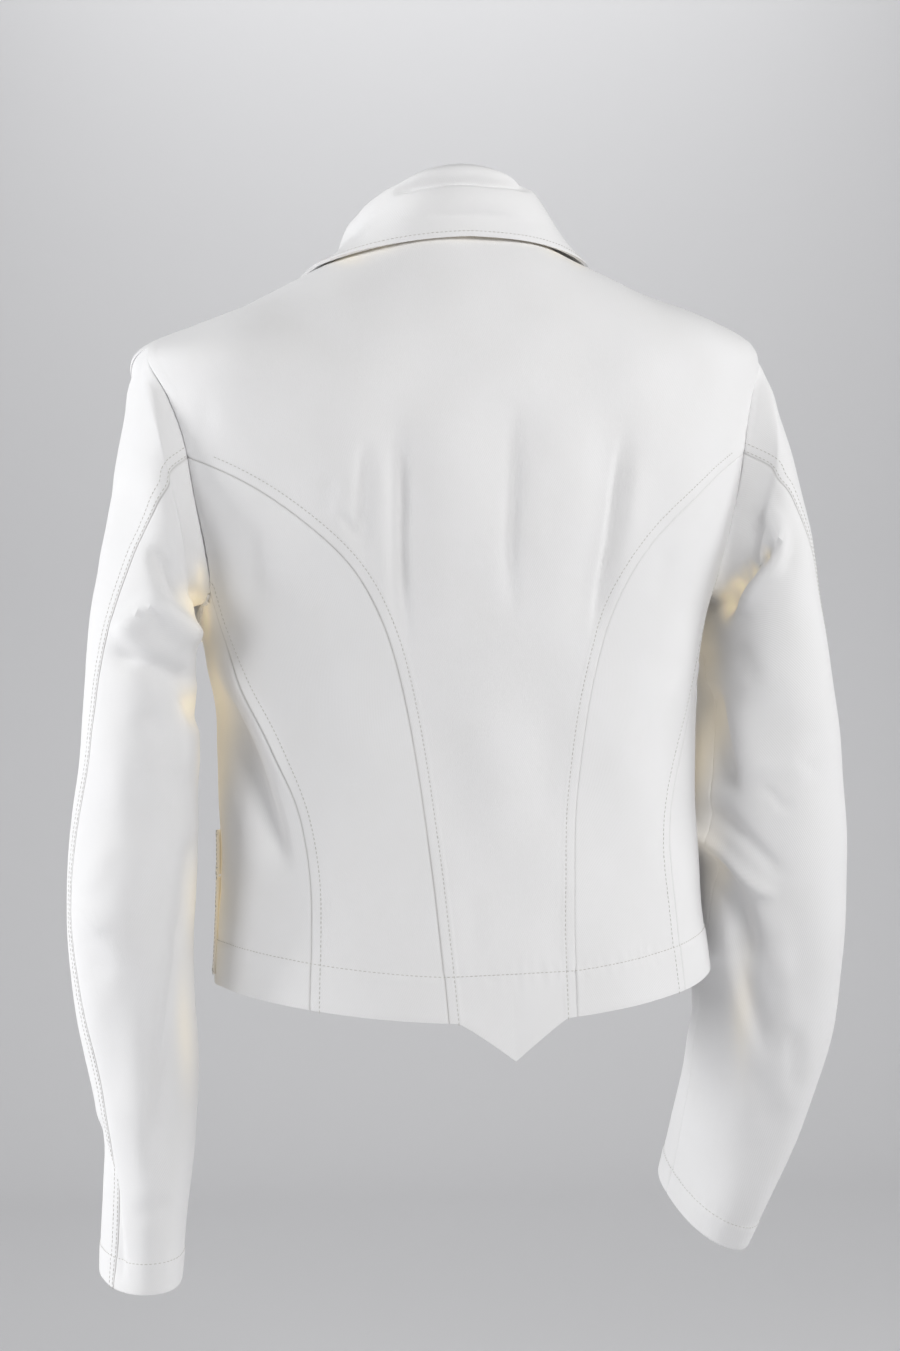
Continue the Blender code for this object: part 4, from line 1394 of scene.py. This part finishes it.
@dataclass
class Back:
    """The back, cut in one with no centre seam, and a curved side back on each side of it."""

    seam_rows: int = 15
    armhole_rows: int = 6
    shoulder_rows: int = 6
    fine_rows: int = 185
    fine_columns: int = 180
    side_columns: int = 54
    side_rows: int = 170
    hem_band: float = HEM
    seam_step: float = 0.0016
    side_step: float = 0.004
    side_top_step: float = 0.0015
    creases: tuple[Crease, ...] = (
        Crease(((401, 405), (401, 440), (402, 500), (402, 550), (404, 600), (409, 660)), 5.4, 5.2, 0.3, 0.36),
        Crease(((386, 430), (385, 480), (385, 560), (390, 620)), -2.3, 9.0),
        Crease(((365, 430), (362, 483), (361, 533), (364, 565)), 3.6, 4.8, -0.3),
        Crease(((515, 395), (517, 470), (514, 533), (512, 625)), 3.8, 5.2, 0.3, 0.36),
        Crease(((532, 440), (533, 500), (529, 570)), -1.0, 10.0),
        Crease(((626, 415), (617, 487), (612, 527), (605, 573), (590, 650)), 4.6, 4.8, -0.3, 0.38),
        Crease(((637, 450), (632, 500), (624, 545)), -1.4, 8.0),
        Crease(((202, 385), (207, 415), (212, 448)), 0.8, 7.0, 0.0, 0.45),
        Crease(((328, 470), (328, 500), (331, 522)), 1.4, 5.4),
        Crease(((337, 508), (349, 527), (361, 545)), 1.8, 3.6),
        Crease(((318, 490), (338, 512), (352, 534)), -0.8, 5.0),
        Crease(((440, 700), (452, 780), (452, 860)), 1.6, 14.0),
        Crease(((560, 690), (548, 760), (546, 850)), 1.6, 13.0),
        Crease(((498, 700), (500, 800), (499, 900)), -1.6, 16.0),
        Crease(((470, 880), (474, 930), (472, 972)), 0.8, 8.0),
        Crease(((560, 880), (556, 930), (556, 968)), 0.8, 9.0),
    )
    side_creases: tuple[Crease, ...] = (
        Crease(((252, 505), (252, 560), (254, 622)), 1.2, 7.0),
        Crease(((205, 630), (228, 668), (252, 712), (276, 764), (292, 812)), -3.4, 5.5, 0.0, 0.3),
        Crease(((208, 662), (226, 706), (250, 762), (270, 818), (290, 886)), 12.2, 8.5, 0.4, 0.3),
        Crease(((262, 792), (280, 836), (294, 900)), 5.1, 9.0, 0.3),
        Crease(((222, 760), (240, 830), (262, 900)), -1.8, 10.0),
        Crease(((330, 640), (352, 720), (368, 800)), -0.8, 12.0),
        Crease(((370, 830), (376, 890), (374, 950)), 0.5, 10.0),
        Crease(((693, 641), (655, 700), (618, 757)), 1.2, 6.0, 0.3),
        Crease(((682, 658), (634, 730), (590, 802)), -1.0, 8.0),
        Crease(((661, 798), (630, 840), (598, 882)), 1.0, 8.0),
        Crease(((670, 540), (664, 570), (652, 602)), 0.7, 6.0),
        Crease(((700, 590), (676, 640), (640, 690)), 1.0, 8.0),
    )

    def edge(self, body: BodyForm) -> Edge:
        """One side edge of the back: princess seam, armhole, shoulder seam."""
        sizes = body.sizes
        return joined(
            (self.seam_rows, lambda share: body.seam(sizes.princess, share)),
            (self.armhole_rows, lambda share: body.armhole(sizes.princess_stop * (1 - share))),
            (self.shoulder_rows, body.shoulder))

    def build(self, sewer: Sewer) -> None:
        """Make the three panels."""
        right = self.edge(sewer.body)
        across = graded(self.fine_columns, self.seam_step, self.seam_step)
        domain = coons(lambda v: right(v) * MIRROR, right, across, np.linspace(0, 1, self.fine_rows + 1))
        total = self.seam_rows + self.armhole_rows + self.shoulder_rows
        low, high = self.seam_rows / total, (self.seam_rows + self.armhole_rows) / total
        seams = [Seam("bottom", 0.3, 1.2, 5.0, 0.3), Seam("level", 0.35, 1.6, rows=(0.0,), pucker=0.22)]
        for word, shade in (("left", 0.16), ("right", 0.42)):
            seams += [
                Seam(word, 0.42, 0.9, 9.0, 0.22, (TOPSTITCH,), 0.15, (0.0, low), shade),
                Seam(word, 0.4, 1.4, 8.0, 0.3, (), 0.2, (low, high)),
                Seam(word, 0.5, 1.6, 7.0, 0.25, (), 0.06, (high, 1.0))]
        sewer.lay("back_centre", Side.LEFT, domain, seams, self.creases,
                  ("side_back_left", "side_back_right"), hem=self.hem_band * MM)
        for side in Side:
            self.build_side(sewer, side)

    def build_side(self, sewer: Sewer, side: Side) -> None:
        """Make the side back between the princess seam and the side seam."""
        body, sizes = sewer.body, sewer.body.sizes
        start, stop = sizes.princess_stop, sizes.side_stop
        domain = coons(
            lambda v: body.seam(sizes.princess, v), lambda v: body.seam(sizes.side_seam, v),
            graded(self.side_columns, self.side_step, self.side_step),
            graded(self.side_rows, 0.0, self.side_top_step),
            lambda u: body.armhole(start + (stop - start) * u))
        inner, outer = (0.42, 0.42) if side is Side.LEFT else (0.16, 0.2)
        seams = (
            Seam("bottom", 0.3, 1.2, self.hem_band, 0.7, (self.hem_band,), 0.22),
            Seam("left", 0.42, 0.8, shade=inner),
            Seam("right", 0.42, 0.9, 9.0, 0.22, (TOPSTITCH,), 0.09, shade=outer),
            Seam("top", 0.4, 1.4, 8.0, 0.3, (), 0.12))
        sewer.lay(f"side_back_{side.word}", side, domain, seams, self.side_creases,
                  ("back_centre", f"front_{side.word}"))


@dataclass
class Fronts:
    """The two lapped fronts."""

    seam_step: float = 0.002
    seam_rows: int = 15
    armhole_rows: int = 15
    shoulder_rows: int = 6
    edge_rows: int = 17
    fine_rows: int = 216
    fine_columns: int = 84
    lap_start: float = 0.81
    lap_full: float = 0.90
    creases: tuple[Crease, ...] = (
        hidden(((560, 380), (585, 450), (600, 520)), 1.1, 8.0, 0.3),
        hidden(((640, 480), (610, 570), (590, 650)), 1.2, 8.0, -0.3),
        hidden(((380, 400), (372, 470), (380, 560)), 1.1, 8.0, 0.3),
        hidden(((300, 500), (330, 590), (350, 680)), 1.2, 8.0, 0.3),
        hidden(((420, 640), (470, 668), (520, 676)), 0.9, 8.0, 0.3),
        hidden(((590, 655), (545, 690), (505, 700)), 0.9, 8.0, -0.3),
        hidden(((400, 740), (450, 775), (500, 782)), 0.8, 9.0, 0.3),
        hidden(((600, 760), (560, 800), (515, 808)), 0.7, 9.0, -0.3),
        Crease(((205, 630), (228, 668), (252, 712), (276, 764), (292, 812)), -2.6, 5.5, 0.0, 0.3),
        Crease(((208, 662), (226, 706), (250, 762), (270, 818), (290, 886)), 9.0, 8.5, 0.4, 0.3),
        Crease(((222, 760), (240, 830), (262, 900)), -1.4, 10.0),
        Crease(((220, 872), (229, 902), (241, 932)), 1.0, 5.0),
    )

    def build(self, sewer: Sewer) -> None:
        """Make both fronts."""
        for side in Side:
            self.build_front(sewer, side)

    def build_front(self, sewer: Sewer, side: Side) -> None:
        """Make one front."""
        body, sizes = sewer.body, sewer.body.sizes
        total = self.seam_rows + self.armhole_rows + self.shoulder_rows
        low, high = self.seam_rows / total, (self.seam_rows + self.armhole_rows) / total
        angle, stop = body.edge_angle(side), sizes.side_stop
        left = joined(
            (self.seam_rows, lambda share: body.seam(sizes.side_seam, share)),
            (self.armhole_rows, lambda share: body.armhole(stop + (len(body.stops) - stop) * share)),
            (self.shoulder_rows, body.shoulder))
        right = joined(
            (self.edge_rows, lambda share: lerp((angle, 0.0), (angle, sizes.break_level), share)),
            (total - self.edge_rows, lambda share: body.roll_line(side, sizes.break_level, share)))
        across = graded(self.fine_columns, self.seam_step, self.seam_step)
        domain = coons(left, right, across, np.linspace(0, 1, self.fine_rows + 1))
        lap = np.clip((across - self.lap_start) / (self.lap_full - self.lap_start), 0, 1)
        seams = (
            Seam("bottom", 0.3, 1.2, HEM, 0.7, (HEM,), 0.22),
            Seam("left", 0.42, 0.8, span=(0.0, low), shade=0.42 if side is Side.LEFT else 0.2),
            Seam("left", 0.6, 2.2, 8.0, 0.3, (), 0.10, (low, high)),
            Seam("left", 0.5, 1.6, span=(high, 1.0)),
            Seam("right", 0.3, 1.2, 8.0, 0.2, (6.0,), 0.06, (0.0, self.edge_rows / total)))
        lift = body.lap_lift(side, domain[..., 1]) * lap[None]
        sewer.lay(f"front_{side.word}", side, domain, seams, self.creases,
                  (f"side_back_{side.word}", "back_centre"), lift=lift)


@dataclass
class Sleeves:
    """Two-piece sleeves, each an outer top half and an inner under half."""

    under_step: float = 0.003
    top_step: float = 0.002
    row_steps: tuple[float, float] = (0.0008, 0.0015)
    centre_places: int = 96
    gap: float = 0.00002
    rows: int = 250
    top_columns: int = 104
    under_columns: int = 66
    length_rows: float = 13.0
    front_seam: float = 5.0
    cuff_band: float = 20.0
    left_creases: tuple[Crease, ...] = (
        Crease(((150, 540), (164, 574), (180, 602), (193, 612)), 7.2, 7.5, -0.35),
        Crease(((188, 596), (196, 607), (206, 612)), -1.0, 5.0),
        Crease(((196, 560), (200, 580), (197, 594)), -3.0, 6.0),
        Crease(((112, 640), (137, 617), (158, 604), (178, 620), (205, 650)), -8.0, 8.0, 0.25, 0.22),
        Crease(((104, 652), (137, 662), (172, 674), (196, 690)), 7.0, 8.0, 0.0, 0.22),
        Crease(((181, 684), (191, 707), (206, 732)), 3.5, 6.5),
        Crease(((168, 700), (182, 740), (190, 790)), -2.7, 9.0),
        Crease(((140, 706), (158, 724), (186, 716)), 2.2, 9.0),
        Crease(((103, 700), (112, 760), (122, 820)), -1.8, 12.0),
        Crease(((132, 740), (140, 800), (140, 860)), 1.5, 11.0),
        Crease(((76, 896), (92, 880), (108, 838)), -1.6, 7.0),
        Crease(((76, 898), (92, 918), (110, 938)), -1.8, 6.0),
        Crease(((80, 925), (96, 950), (108, 985)), 1.6, 8.0),
        Crease(((196, 826), (188, 862), (182, 925), (178, 965)), 3.5, 7.0, 0.45, 0.25),
        Crease(((190, 890), (174, 985), (160, 1089), (147, 1196)), 3.5, 9.0, -0.45, 0.25),
        Crease(((172, 880), (152, 985), (138, 1100)), -2.4, 11.0),
        Crease(((104, 990), (112, 1060), (118, 1120)), 1.4, 10.0),
        Crease(((205, 320), (213, 333), (222, 342)), 1.2, 3.5),
        Crease(((194, 326), (202, 340), (210, 352)), 1.1, 3.0),
        Crease(((184, 334), (190, 346), (195, 358)), 0.8, 3.0),
        Crease(((101, 1112), (106, 1150), (114, 1182), (119, 1235), (123, 1286)), 3.0, 3.2, 0.5, 0.12),
        Crease(((122, 470), (126, 510), (122, 552)), 1.8, 10.0),
        Crease(((140, 440), (150, 480), (150, 520)), -1.4, 8.0),
        Crease(((130, 1205), (150, 1212), (176, 1200)), 1.2, 7.0),
        hidden(((640, 560), (700, 600), (740, 610)), 3.0, 8.0, 0.3),
        hidden(((104, 652), (140, 690), (190, 700)), 4.6, 9.0, 0.3),
        hidden(((96, 700), (140, 730), (186, 736)), -3.2, 10.0, 0.0),
        hidden(((90, 750), (140, 778), (186, 776)), 3.2, 9.0, 0.3),
        hidden(((100, 560), (150, 590), (200, 592)), 3.2, 9.0, 0.3),
        hidden(((100, 900), (140, 930), (180, 930)), 1.9, 9.0, 0.3),
        hidden(((110, 1020), (140, 1046), (180, 1050)), 1.6, 9.0, 0.3),
    )
    right_creases: tuple[Crease, ...] = (
        Crease(((778, 543), (760, 558), (744, 575), (732, 594), (724, 622)), 6.6, 4.6, 0.0, 0.2),
        Crease(((764, 492), (772, 518), (783, 545), (772, 568), (754, 590), (738, 620)), -3.6, 4.4, 0.0, 0.2),
        Crease(((703, 600), (700, 650), (698, 720), (699, 800), (701, 880)), -8.0, 9.0, 0.0, 0.2),
        Crease(((788, 520), (792, 552), (784, 584)), 1.9, 6.0),
        Crease(((744, 510), (752, 528), (762, 544)), 1.5, 6.0),
        Crease(((702, 676), (714, 698), (724, 745), (735, 800)), 6.5, 7.5, 0.4, 0.25),
        Crease(((734, 690), (746, 745), (752, 800)), -2.2, 10.0),
        Crease(((692, 818), (722, 856), (752, 884), (782, 899)), -5.2, 4.6, 0.0, 0.22),
        Crease(((703, 798), (738, 832), (764, 858), (790, 884)), 3.2, 5.5, 0.0, 0.25),
        Crease(((698, 840), (724, 880), (744, 924), (755, 980)), 6.6, 7.5, 0.0, 0.25),
        Crease(((766, 900), (778, 940), (782, 990)), -2.2, 9.0),
        Crease(((752, 792), (770, 792), (782, 806), (800, 803)), 1.6, 3.5),
        Crease(((748, 766), (786, 768), (816, 752)), -1.1, 7.0),
        Crease(((790, 756), (806, 764), (822, 780)), 0.9, 4.0),
        Crease(((730, 880), (737, 953), (758, 1033), (775, 1066)), 4.4, 7.0, -0.3, 0.25),
        Crease(((791, 1018), (795, 1060), (793, 1106)), 1.9, 6.0),
        Crease(((771, 940), (786, 1000), (784, 1060)), -1.8, 9.0),
        Crease(((745, 1060), (764, 1100), (770, 1140)), 1.8, 8.0),
        Crease(((760, 640), (790, 700), (800, 742)), -1.2, 12.0),
        Crease(((806, 700), (820, 760), (826, 820)), 1.0, 9.0),
        Crease(((730, 640), (748, 668), (744, 690)), 1.2, 8.0),
        hidden(((690, 640), (740, 668), (790, 660)), 3.0, 9.0, 0.3),
        hidden(((700, 690), (750, 712), (800, 708)), -2.5, 10.0, 0.0),
        hidden(((700, 740), (750, 760), (810, 750)), 3.0, 9.0, 0.3),
        hidden(((700, 800), (750, 830), (820, 836)), 3.2, 9.0, 0.3),
        hidden(((720, 900), (760, 930), (820, 920)), 2.0, 9.0, 0.3),
        hidden(((700, 560), (750, 590), (800, 570)), 2.8, 9.0, 0.3),
        hidden(((720, 1000), (760, 1030), (800, 1030)), 1.6, 9.0, 0.3),
    )

    def build(self, sewer: Sewer) -> None:
        """Make all four halves."""
        start, stop, turn = sewer.body.sizes.princess_stop, self.front_seam, len(sewer.body.stops)
        under = start + (stop - start) * graded(self.under_columns, self.under_step, self.under_step)
        top = stop + (turn + start - stop) * graded(self.top_columns, self.top_step, self.top_step)
        for side, cuffs, creases in (
                (Side.LEFT, LEFT_SLEEVE, self.left_creases), (Side.RIGHT, RIGHT_SLEEVE, self.right_creases)):
            form = SleeveForm(sewer.body, side, cuffs, self.gap)
            self.build_half(sewer, form, "under_sleeve", under, creases)
            self.build_half(sewer, form, "top_sleeve", top, creases)

    def build_half(self, sewer: Sewer, form: SleeveForm, kind: str, places: Array,
                   creases: Sequence[Crease]) -> None:
        """Make one half of a sleeve."""
        rows = graded(self.rows, *self.row_steps) * self.length_rows
        ring = np.linspace(0, len(sewer.body.stops), self.centre_places, endpoint=False)
        centre = form.points(rows, ring).mean(axis=1)
        outer = form.points(rows, places)
        shade = 0.4 if form.side is Side.LEFT else 0.3
        if kind == "top_sleeve":
            sides = (Seam("right", 0.45, 0.9, 8.5, 0.25, (1.6, 6.5), 0.10, shade=shade),
                     Seam("left", 0.6, 1.7))
        else:
            sides = Seam("left", 0.45, 0.9, shade=shade), Seam("right", 0.6, 1.7)
        seams = (
            Seam("bottom", 0.5, 1.5, 6.0, -0.15, (), 0.14, anchor=17.0),
            Seam("top", 0.3, 1.2, self.cuff_band, 0.6, (self.cuff_band - 0.4,), 0.16), *sides)
        panel = Panel(f"{kind}_{form.side.word}", outer, outer - centre[:, None], seams)
        sewer.finish(panel, creases, (f"front_{form.side.word}", "back_centre"))


@dataclass(frozen=True)
class FallEdge:
    """Where the lower edge of the collar lies at an angle round the neck."""

    angle: float
    left_level: float
    right_level: float
    clear: float


@dataclass(frozen=True)
class FallRow:
    """One row of the collar's profile: its place down the collar and its bulge in metres."""

    along: float
    back: float
    left: float
    right: float


@dataclass
class Collar:
    """The collar: a band that stands up from the neck seam and the turned-down collar on it."""

    middle_y: float = -0.006
    middle_z: float = -0.03
    side_angle: float = 70.0
    fall_step: float = 0.006
    fall_wave: float = 0.15
    stand_back: float = 0.036
    stand_front: float = 0.014
    stand_lean: float = 0.005
    stand_gap: float = 0.0005
    seam_gap: float = 0.0003
    fall_cloth: float = 0.0020
    stand_cloth: float = 0.0016
    columns: int = 200
    fall_rows: int = 56
    stand_rows: int = 20
    edges: tuple[FallEdge, ...] = (
        FallEdge(0.0, 9.70, 9.70, 0.0033),
        FallEdge(35.0, 9.67, 9.66, 0.0031),
        FallEdge(70.0, 9.67, 9.55, 0.0032),
        FallEdge(95.0, 9.68, 9.52, 0.0038),
        FallEdge(112.0, 9.50, 9.34, 0.0050),
        FallEdge(124.0, 9.14, 9.06, 0.0055),
    )
    profile: tuple[FallRow, ...] = (
        FallRow(0.00, 0.0000, 0.0000, 0.0000),
        FallRow(0.08, 0.0046, 0.0016, 0.0036),
        FallRow(0.36, 0.0056, -0.0046, 0.0020),
        FallRow(0.68, 0.0030, -0.0042, 0.0000),
        FallRow(1.00, 0.0000, 0.0000, 0.0000),
    )
    creases: tuple[Crease, ...] = (
        Crease(((390, 194), (398, 192), (408, 189), (440, 183),
                (470, 182), (492, 184), (518, 186), (533, 193)),
               4.4, 2.8, -0.4, 0.12),
        Crease(((388, 182), (430, 173), (480, 172), (524, 182)), -0.9, 5.0),
        Crease(((380, 205), (430, 198), (490, 198), (545, 207)), -1.3, 6.0),
        Crease(((396, 222), (450, 216), (500, 217), (552, 227)), 1.9, 5.0, 0.3),
        Crease(((366, 205), (357, 226), (346, 248)), 1.0, 5.0),
        Crease(((378, 196), (368, 222), (362, 240)), -0.6, 6.0),
        Crease(((552, 208), (570, 230), (584, 250)), 1.0, 5.0),
    )

    def stand_point(self, body: BodyForm, angle: Array, share: Array, rise: float = 0.0) -> Array:
        """Outer points of the stand, a share of the way up from the neck seam."""
        foot = body.base(angle, np.full_like(angle, body.neck_level))
        outward = units(np.stack((foot[..., 0], foot[..., 1] - self.middle_y, np.zeros_like(angle)), axis=-1))
        part = smooth_step(np.abs(angle) / body.sizes.gorge_angle)
        height = self.stand_back + (self.stand_front - self.stand_back) * part
        lean = self.stand_lean * height / self.stand_back
        up = np.zeros_like(foot)
        up[..., 2] = self.stand_gap + height * share + rise
        return foot - outward * (lean * share)[..., None] + up

    def fall_points(self, body: BodyForm, angle: Array, along: Array) -> Array:
        """Outer points of the turned-down collar."""
        roll = self.stand_point(body, angle, np.ones_like(angle), self.seam_gap + self.fall_cloth)
        entry = read_at([astuple(edge) for edge in self.edges], np.abs(angle))
        level = np.where(angle > 0, entry[..., 1], entry[..., 2])
        steep = body.point(angle, level, entry[..., 3]) - roll
        level_way = units(steep * np.array((1.0, 1.0, 0.0)))
        away = units(np.cross(np.cross(np.array((0.0, 0.0, 1.0)), level_way), steep))
        away = away * np.sign(np.sum(away * level_way, axis=-1, keepdims=True))
        bulge = read_at([astuple(row) for row in self.profile], along)
        side = np.where(angle > 0, bulge[..., 2], bulge[..., 3])
        total = bulge[..., 1] + (side - bulge[..., 1]) * smooth_step(np.abs(angle) / self.side_angle)
        return roll + steep * along[..., None] + away * total[..., None]

    def build(self, sewer: Sewer) -> None:
        """Make the stand and the turned-down collar."""
        gorge = sewer.body.sizes.gorge_angle
        angles = np.linspace(-gorge, gorge, self.columns + 1)
        share, angle = np.meshgrid(np.linspace(0, 1, self.stand_rows + 1), angles, indexing="ij")
        outer = self.stand_point(sewer.body, angle, share)
        outward = (outer - (0.0, self.middle_y, 0.0)) * (1.0, 1.0, 0.0)
        panel = Panel("collar_stand", outer, outward, (Seam("bottom", 0.3, 1.5),), self.stand_cloth)
        sewer.finish(panel, (), ("back_centre", "front_left", "front_right"), "folded", 0.0)
        along, angle = np.meshgrid(
            graded(self.fall_rows, self.fall_step, self.fall_step), angles, indexing="ij")
        outer = self.fall_points(sewer.body, angle, along)
        ends = tuple(Seam(word, 0.3, 1.2, 5.0, 0.2, (3.6,)) for word in ("left", "right"))
        seams = (Seam("top", 0.35, 1.3, 5.0, 0.2, (3.6,), 0.05), *ends)
        outward = outer - (0.0, self.middle_y, self.middle_z)
        panel = Panel("collar_fall", outer, outward, seams, self.fall_cloth)
        sewer.finish(panel, self.creases, ("collar_stand",), "folded", self.fall_wave)


@dataclass
class Lapels:
    """The turned-back top of each front."""

    lift: float = 0.0030
    roll_places: int = 49
    foot_width: float = 5.0
    foot_left: float = 4.15
    foot_right: float = 3.55
    top_angle: float = 128.0
    rows: int = 110
    columns: int = 40
    edge: tuple[tuple[float, float], ...] = ((8.55, 120.0), (7.30, 121.0), (6.10, 130.0), (4.90, 150.0))

    def build(self, sewer: Sewer) -> None:
        """Make both lapels."""
        for side in Side:
            self.build_lapel(sewer, side)

    def build_lapel(self, sewer: Sewer, side: Side) -> None:
        """Make one lapel."""
        body = sewer.body
        foot = self.foot_left if side is Side.LEFT else self.foot_right
        roll = body.roll_line(side, foot, np.linspace(0, 1, self.roll_places))
        roll = roll[roll[:, 0] >= self.top_angle]
        free = np.array(self.edge + ((foot, roll[0][0] - self.foot_width),))[::-1, ::-1]
        domain = coons(
            lambda v: blend_rows(free, v * (len(free) - 1)), lambda v: blend_rows(roll, v * (len(roll) - 1)),
            np.linspace(0, 1, self.columns + 1), np.linspace(0, 1, self.rows + 1))
        seams = (Seam("left", 0.3, 1.2, 5.5, 0.2, (4.0,), 0.05), Seam("top", 0.3, 1.2, 5.5, 0.2, (4.0,)))
        sewer.lay(f"lapel_{side.word}", side, domain, seams, (), (f"front_{side.word}",), "folded", 0.1,
                  self.lift + body.lap_lift(side, domain[..., 1]))


@dataclass(frozen=True)
class Patch:
    """Where a pocket or a flap lies on a front, its grid and its seams."""

    name: str
    angles: tuple[float, float]
    levels: tuple[float, float]
    rows: int
    seams: tuple[Seam, ...]


@dataclass
class Pockets:
    """A patch pocket with a flap low on each front."""

    lift: float = 0.0024
    columns: int = 60
    edge_step: float = 0.006
    wave: float = 0.1
    patches: tuple[Patch, ...] = (
        Patch("pocket", (97.0, 135.0), (0.12, 1.25), 44, (
            *(Seam(word, 0.25, 1.0, 4.0, 0.2, (1.8,), 0.04) for word in ("left", "right", "bottom")),
            Seam("top", 0.2, 1.0, 18.0, 0.2, (17.5,)))),
        Patch("pocket_flap", (96.0, 136.0), (1.27, 1.76), 22, (
            *(Seam(word, 0.25, 1.0, 7.0, 0.2, (1.8, 6.5)) for word in ("left", "right", "bottom")),
            Seam("top", 0.2, 1.0, 4.0, 0.1, (1.8,)))),
    )

    def build(self, sewer: Sewer) -> None:
        """Make both pockets and both flaps."""
        shares = graded(self.columns, self.edge_step, self.edge_step)
        for side in Side:
            for patch in self.patches:
                start, end = patch.angles
                level, angle = np.meshgrid(
                    np.linspace(*patch.levels, patch.rows + 1), start + (end - start) * shares, indexing="ij")
                sewer.lay(f"{patch.name}_{side.word}", side, np.stack((angle, level), axis=-1), patch.seams,
                          Fronts.creases, (f"front_{side.word}",), wave=self.wave, lift=self.lift)


@dataclass(frozen=True)
class Lamp:
    """A square soft light: its place to the right of, ahead of and above its aim, its size and power."""

    name: str
    right: float
    ahead: float
    up: float
    size: float
    power: float
    colour: Colour = (1.0, 1.0, 1.0)
    aim_ahead: float = 0.0
    aim_z: float = -0.32


@dataclass
class Studio:
    """Plain pale floor and background, soft light and the photo's camera."""

    curve_steps: int = 24
    lamps: tuple[Lamp, ...] = (
        Lamp("key", 1.35, -2.1, 1.35, 0.9, 42.0, (1.0, 0.992, 0.98)),
        Lamp("fill", -2.2, -1.4, 0.4, 1.0, 15.5, (0.985, 0.99, 1.0)),
        Lamp("rim_left", -2.3, 0.1, 0.5, 0.8, 36.0),
        Lamp("rim_right", 2.2, 0.1, 0.6, 0.8, 17.0),
        Lamp("backdrop", 0.0, -0.3, 2.1, 1.6, 11.0, aim_ahead=2.9, aim_z=-1.0),
    )
    floor_z: float = -1.00
    floor_size: float = 9.0
    floor_depth: float = 2.4
    bend: float = 0.9
    background: tuple[float, float, float] = (0.93, 0.94, 0.97)
    background_strength: float = 0.18
    picture: Picture = field(default_factory=Picture)

    def build(self) -> None:
        """Make the floor, the lights and the camera."""
        self.build_floor()
        self.build_world()
        for lamp in self.lamps:
            self.build_lamp(lamp)
        self.build_camera()
        view = bpy.context.scene.view_settings
        view.view_transform, view.look = "Standard", "None"

    def build_floor(self) -> None:
        """A large pale floor that curves up far behind the jacket."""
        ahead, half = self.picture.forward, self.floor_size / 2
        turns = np.linspace(0.0, math.pi / 2, self.curve_steps + 1)
        curve = [(self.floor_depth + self.bend * math.sin(turn), self.bend * (1 - math.cos(turn)))
                 for turn in turns]
        profile = [(-half, 0.0), *curve, (self.floor_depth + self.bend, half)]
        rows = [ahead * depth + np.array((0, 0, self.floor_z + rise)) for depth, rise in profile]
        points = [row + self.picture.right * half * way for row in rows for way in (-1, 1)]
        faces = [(2 * index, 2 * index + 1, 2 * index + 3, 2 * index + 2) for index in range(len(rows) - 1)]
        mesh = add_mesh("floor", points, [], faces)
        mesh.shade_smooth()
        mesh.materials.append(Floor().make())
        floor = add_object("floor", mesh)
        floor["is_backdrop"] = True

    def build_lamp(self, lamp: Lamp) -> None:
        """One light, turned to its aim."""
        ahead, right = Vector(self.picture.forward), Vector(self.picture.right)
        aim = ahead * lamp.aim_ahead + Vector((0.0, 0.0, lamp.aim_z))
        light = bpy.data.lights.new(lamp.name, "AREA")
        light.size, light.energy, light.color = lamp.size, lamp.power, lamp.colour
        item = add_object(lamp.name, light)
        item.location = aim + right * lamp.right + ahead * lamp.ahead + Vector((0.0, 0.0, lamp.up))
        item.rotation_euler = (aim - item.location).to_track_quat("-Z", "Y").to_euler()

    def build_world(self) -> None:
        """Even pale light from all round."""
        world = bpy.data.worlds.new("studio")
        world.use_nodes = True
        ground = world.node_tree.nodes["Background"]
        ground.inputs["Color"].default_value = (*self.background, 1.0)
        ground.inputs["Strength"].default_value = self.background_strength
        bpy.context.scene.world = world

    def build_camera(self) -> None:
        """The camera at the photo's place."""
        picture = self.picture
        data = bpy.data.cameras.new("camera")
        data.sensor_fit = "VERTICAL"
        data.angle = 2 * math.atan(picture.height / 2 / picture.focal)
        cos, sin = math.cos(math.radians(picture.roll)), math.sin(math.radians(picture.roll))
        right, up = Vector(picture.right), Vector((0.0, 0.0, 1.0))
        axes = (right * cos - up * sin, right * sin + up * cos, -Vector(picture.forward))
        matrix = Matrix(axes).transposed().to_4x4()
        matrix.translation = Vector(picture.eye)
        camera = add_object("camera", data)
        camera.matrix_world = matrix
        bpy.context.scene.camera = camera


def write_sizes(before: object, after: object) -> None:
    """Put the frame's box before and after the pieces were made into plain lists, which are not kept."""
    def plain(box: object) -> list[list[float]]:
        """A box as plain lists."""
        return [[float(part) for part in corner] for corner in box]

    {"cad": plain(before), "scene": plain(after)}


def main() -> None:
    """Make every piece in order, give the buttons their finish and set up the studio."""
    logging.basicConfig(level=logging.INFO, format="%(name)s: %(message)s")
    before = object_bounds()
    waves = Unevenness(seed=11, count=9, shortest=0.045, longest=0.120)
    ripples = Unevenness(seed=5, count=7, shortest=0.020, longest=0.060)
    sewer = Sewer(BodyForm(BodySizes()), Picture(), Tailor(waves, ripples), Cloth(Drill().make()))
    for assembly in (Back(), Fronts(), Sleeves(), Collar(), Lapels(), Pockets()):
        assembly.build(sewer)
    stitches = Stitching().sew("stitches", sewer.stitches, THREAD.make())
    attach(stitches, "root")
    LOG.info("stitches: %d faces on %d lines", len(stitches.data.polygons), len(sewer.stitches))
    finish = BUTTON_SHELL.make()
    for index in (1, 2, 3):
        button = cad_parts[f"button_{index}"]
        button.data.materials.clear()
        button.data.materials.append(finish)
        LOG.info("%s: new finish", button.name)
    Studio().build()
    write_sizes(before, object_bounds())


if __name__ == "__main__":
    main()
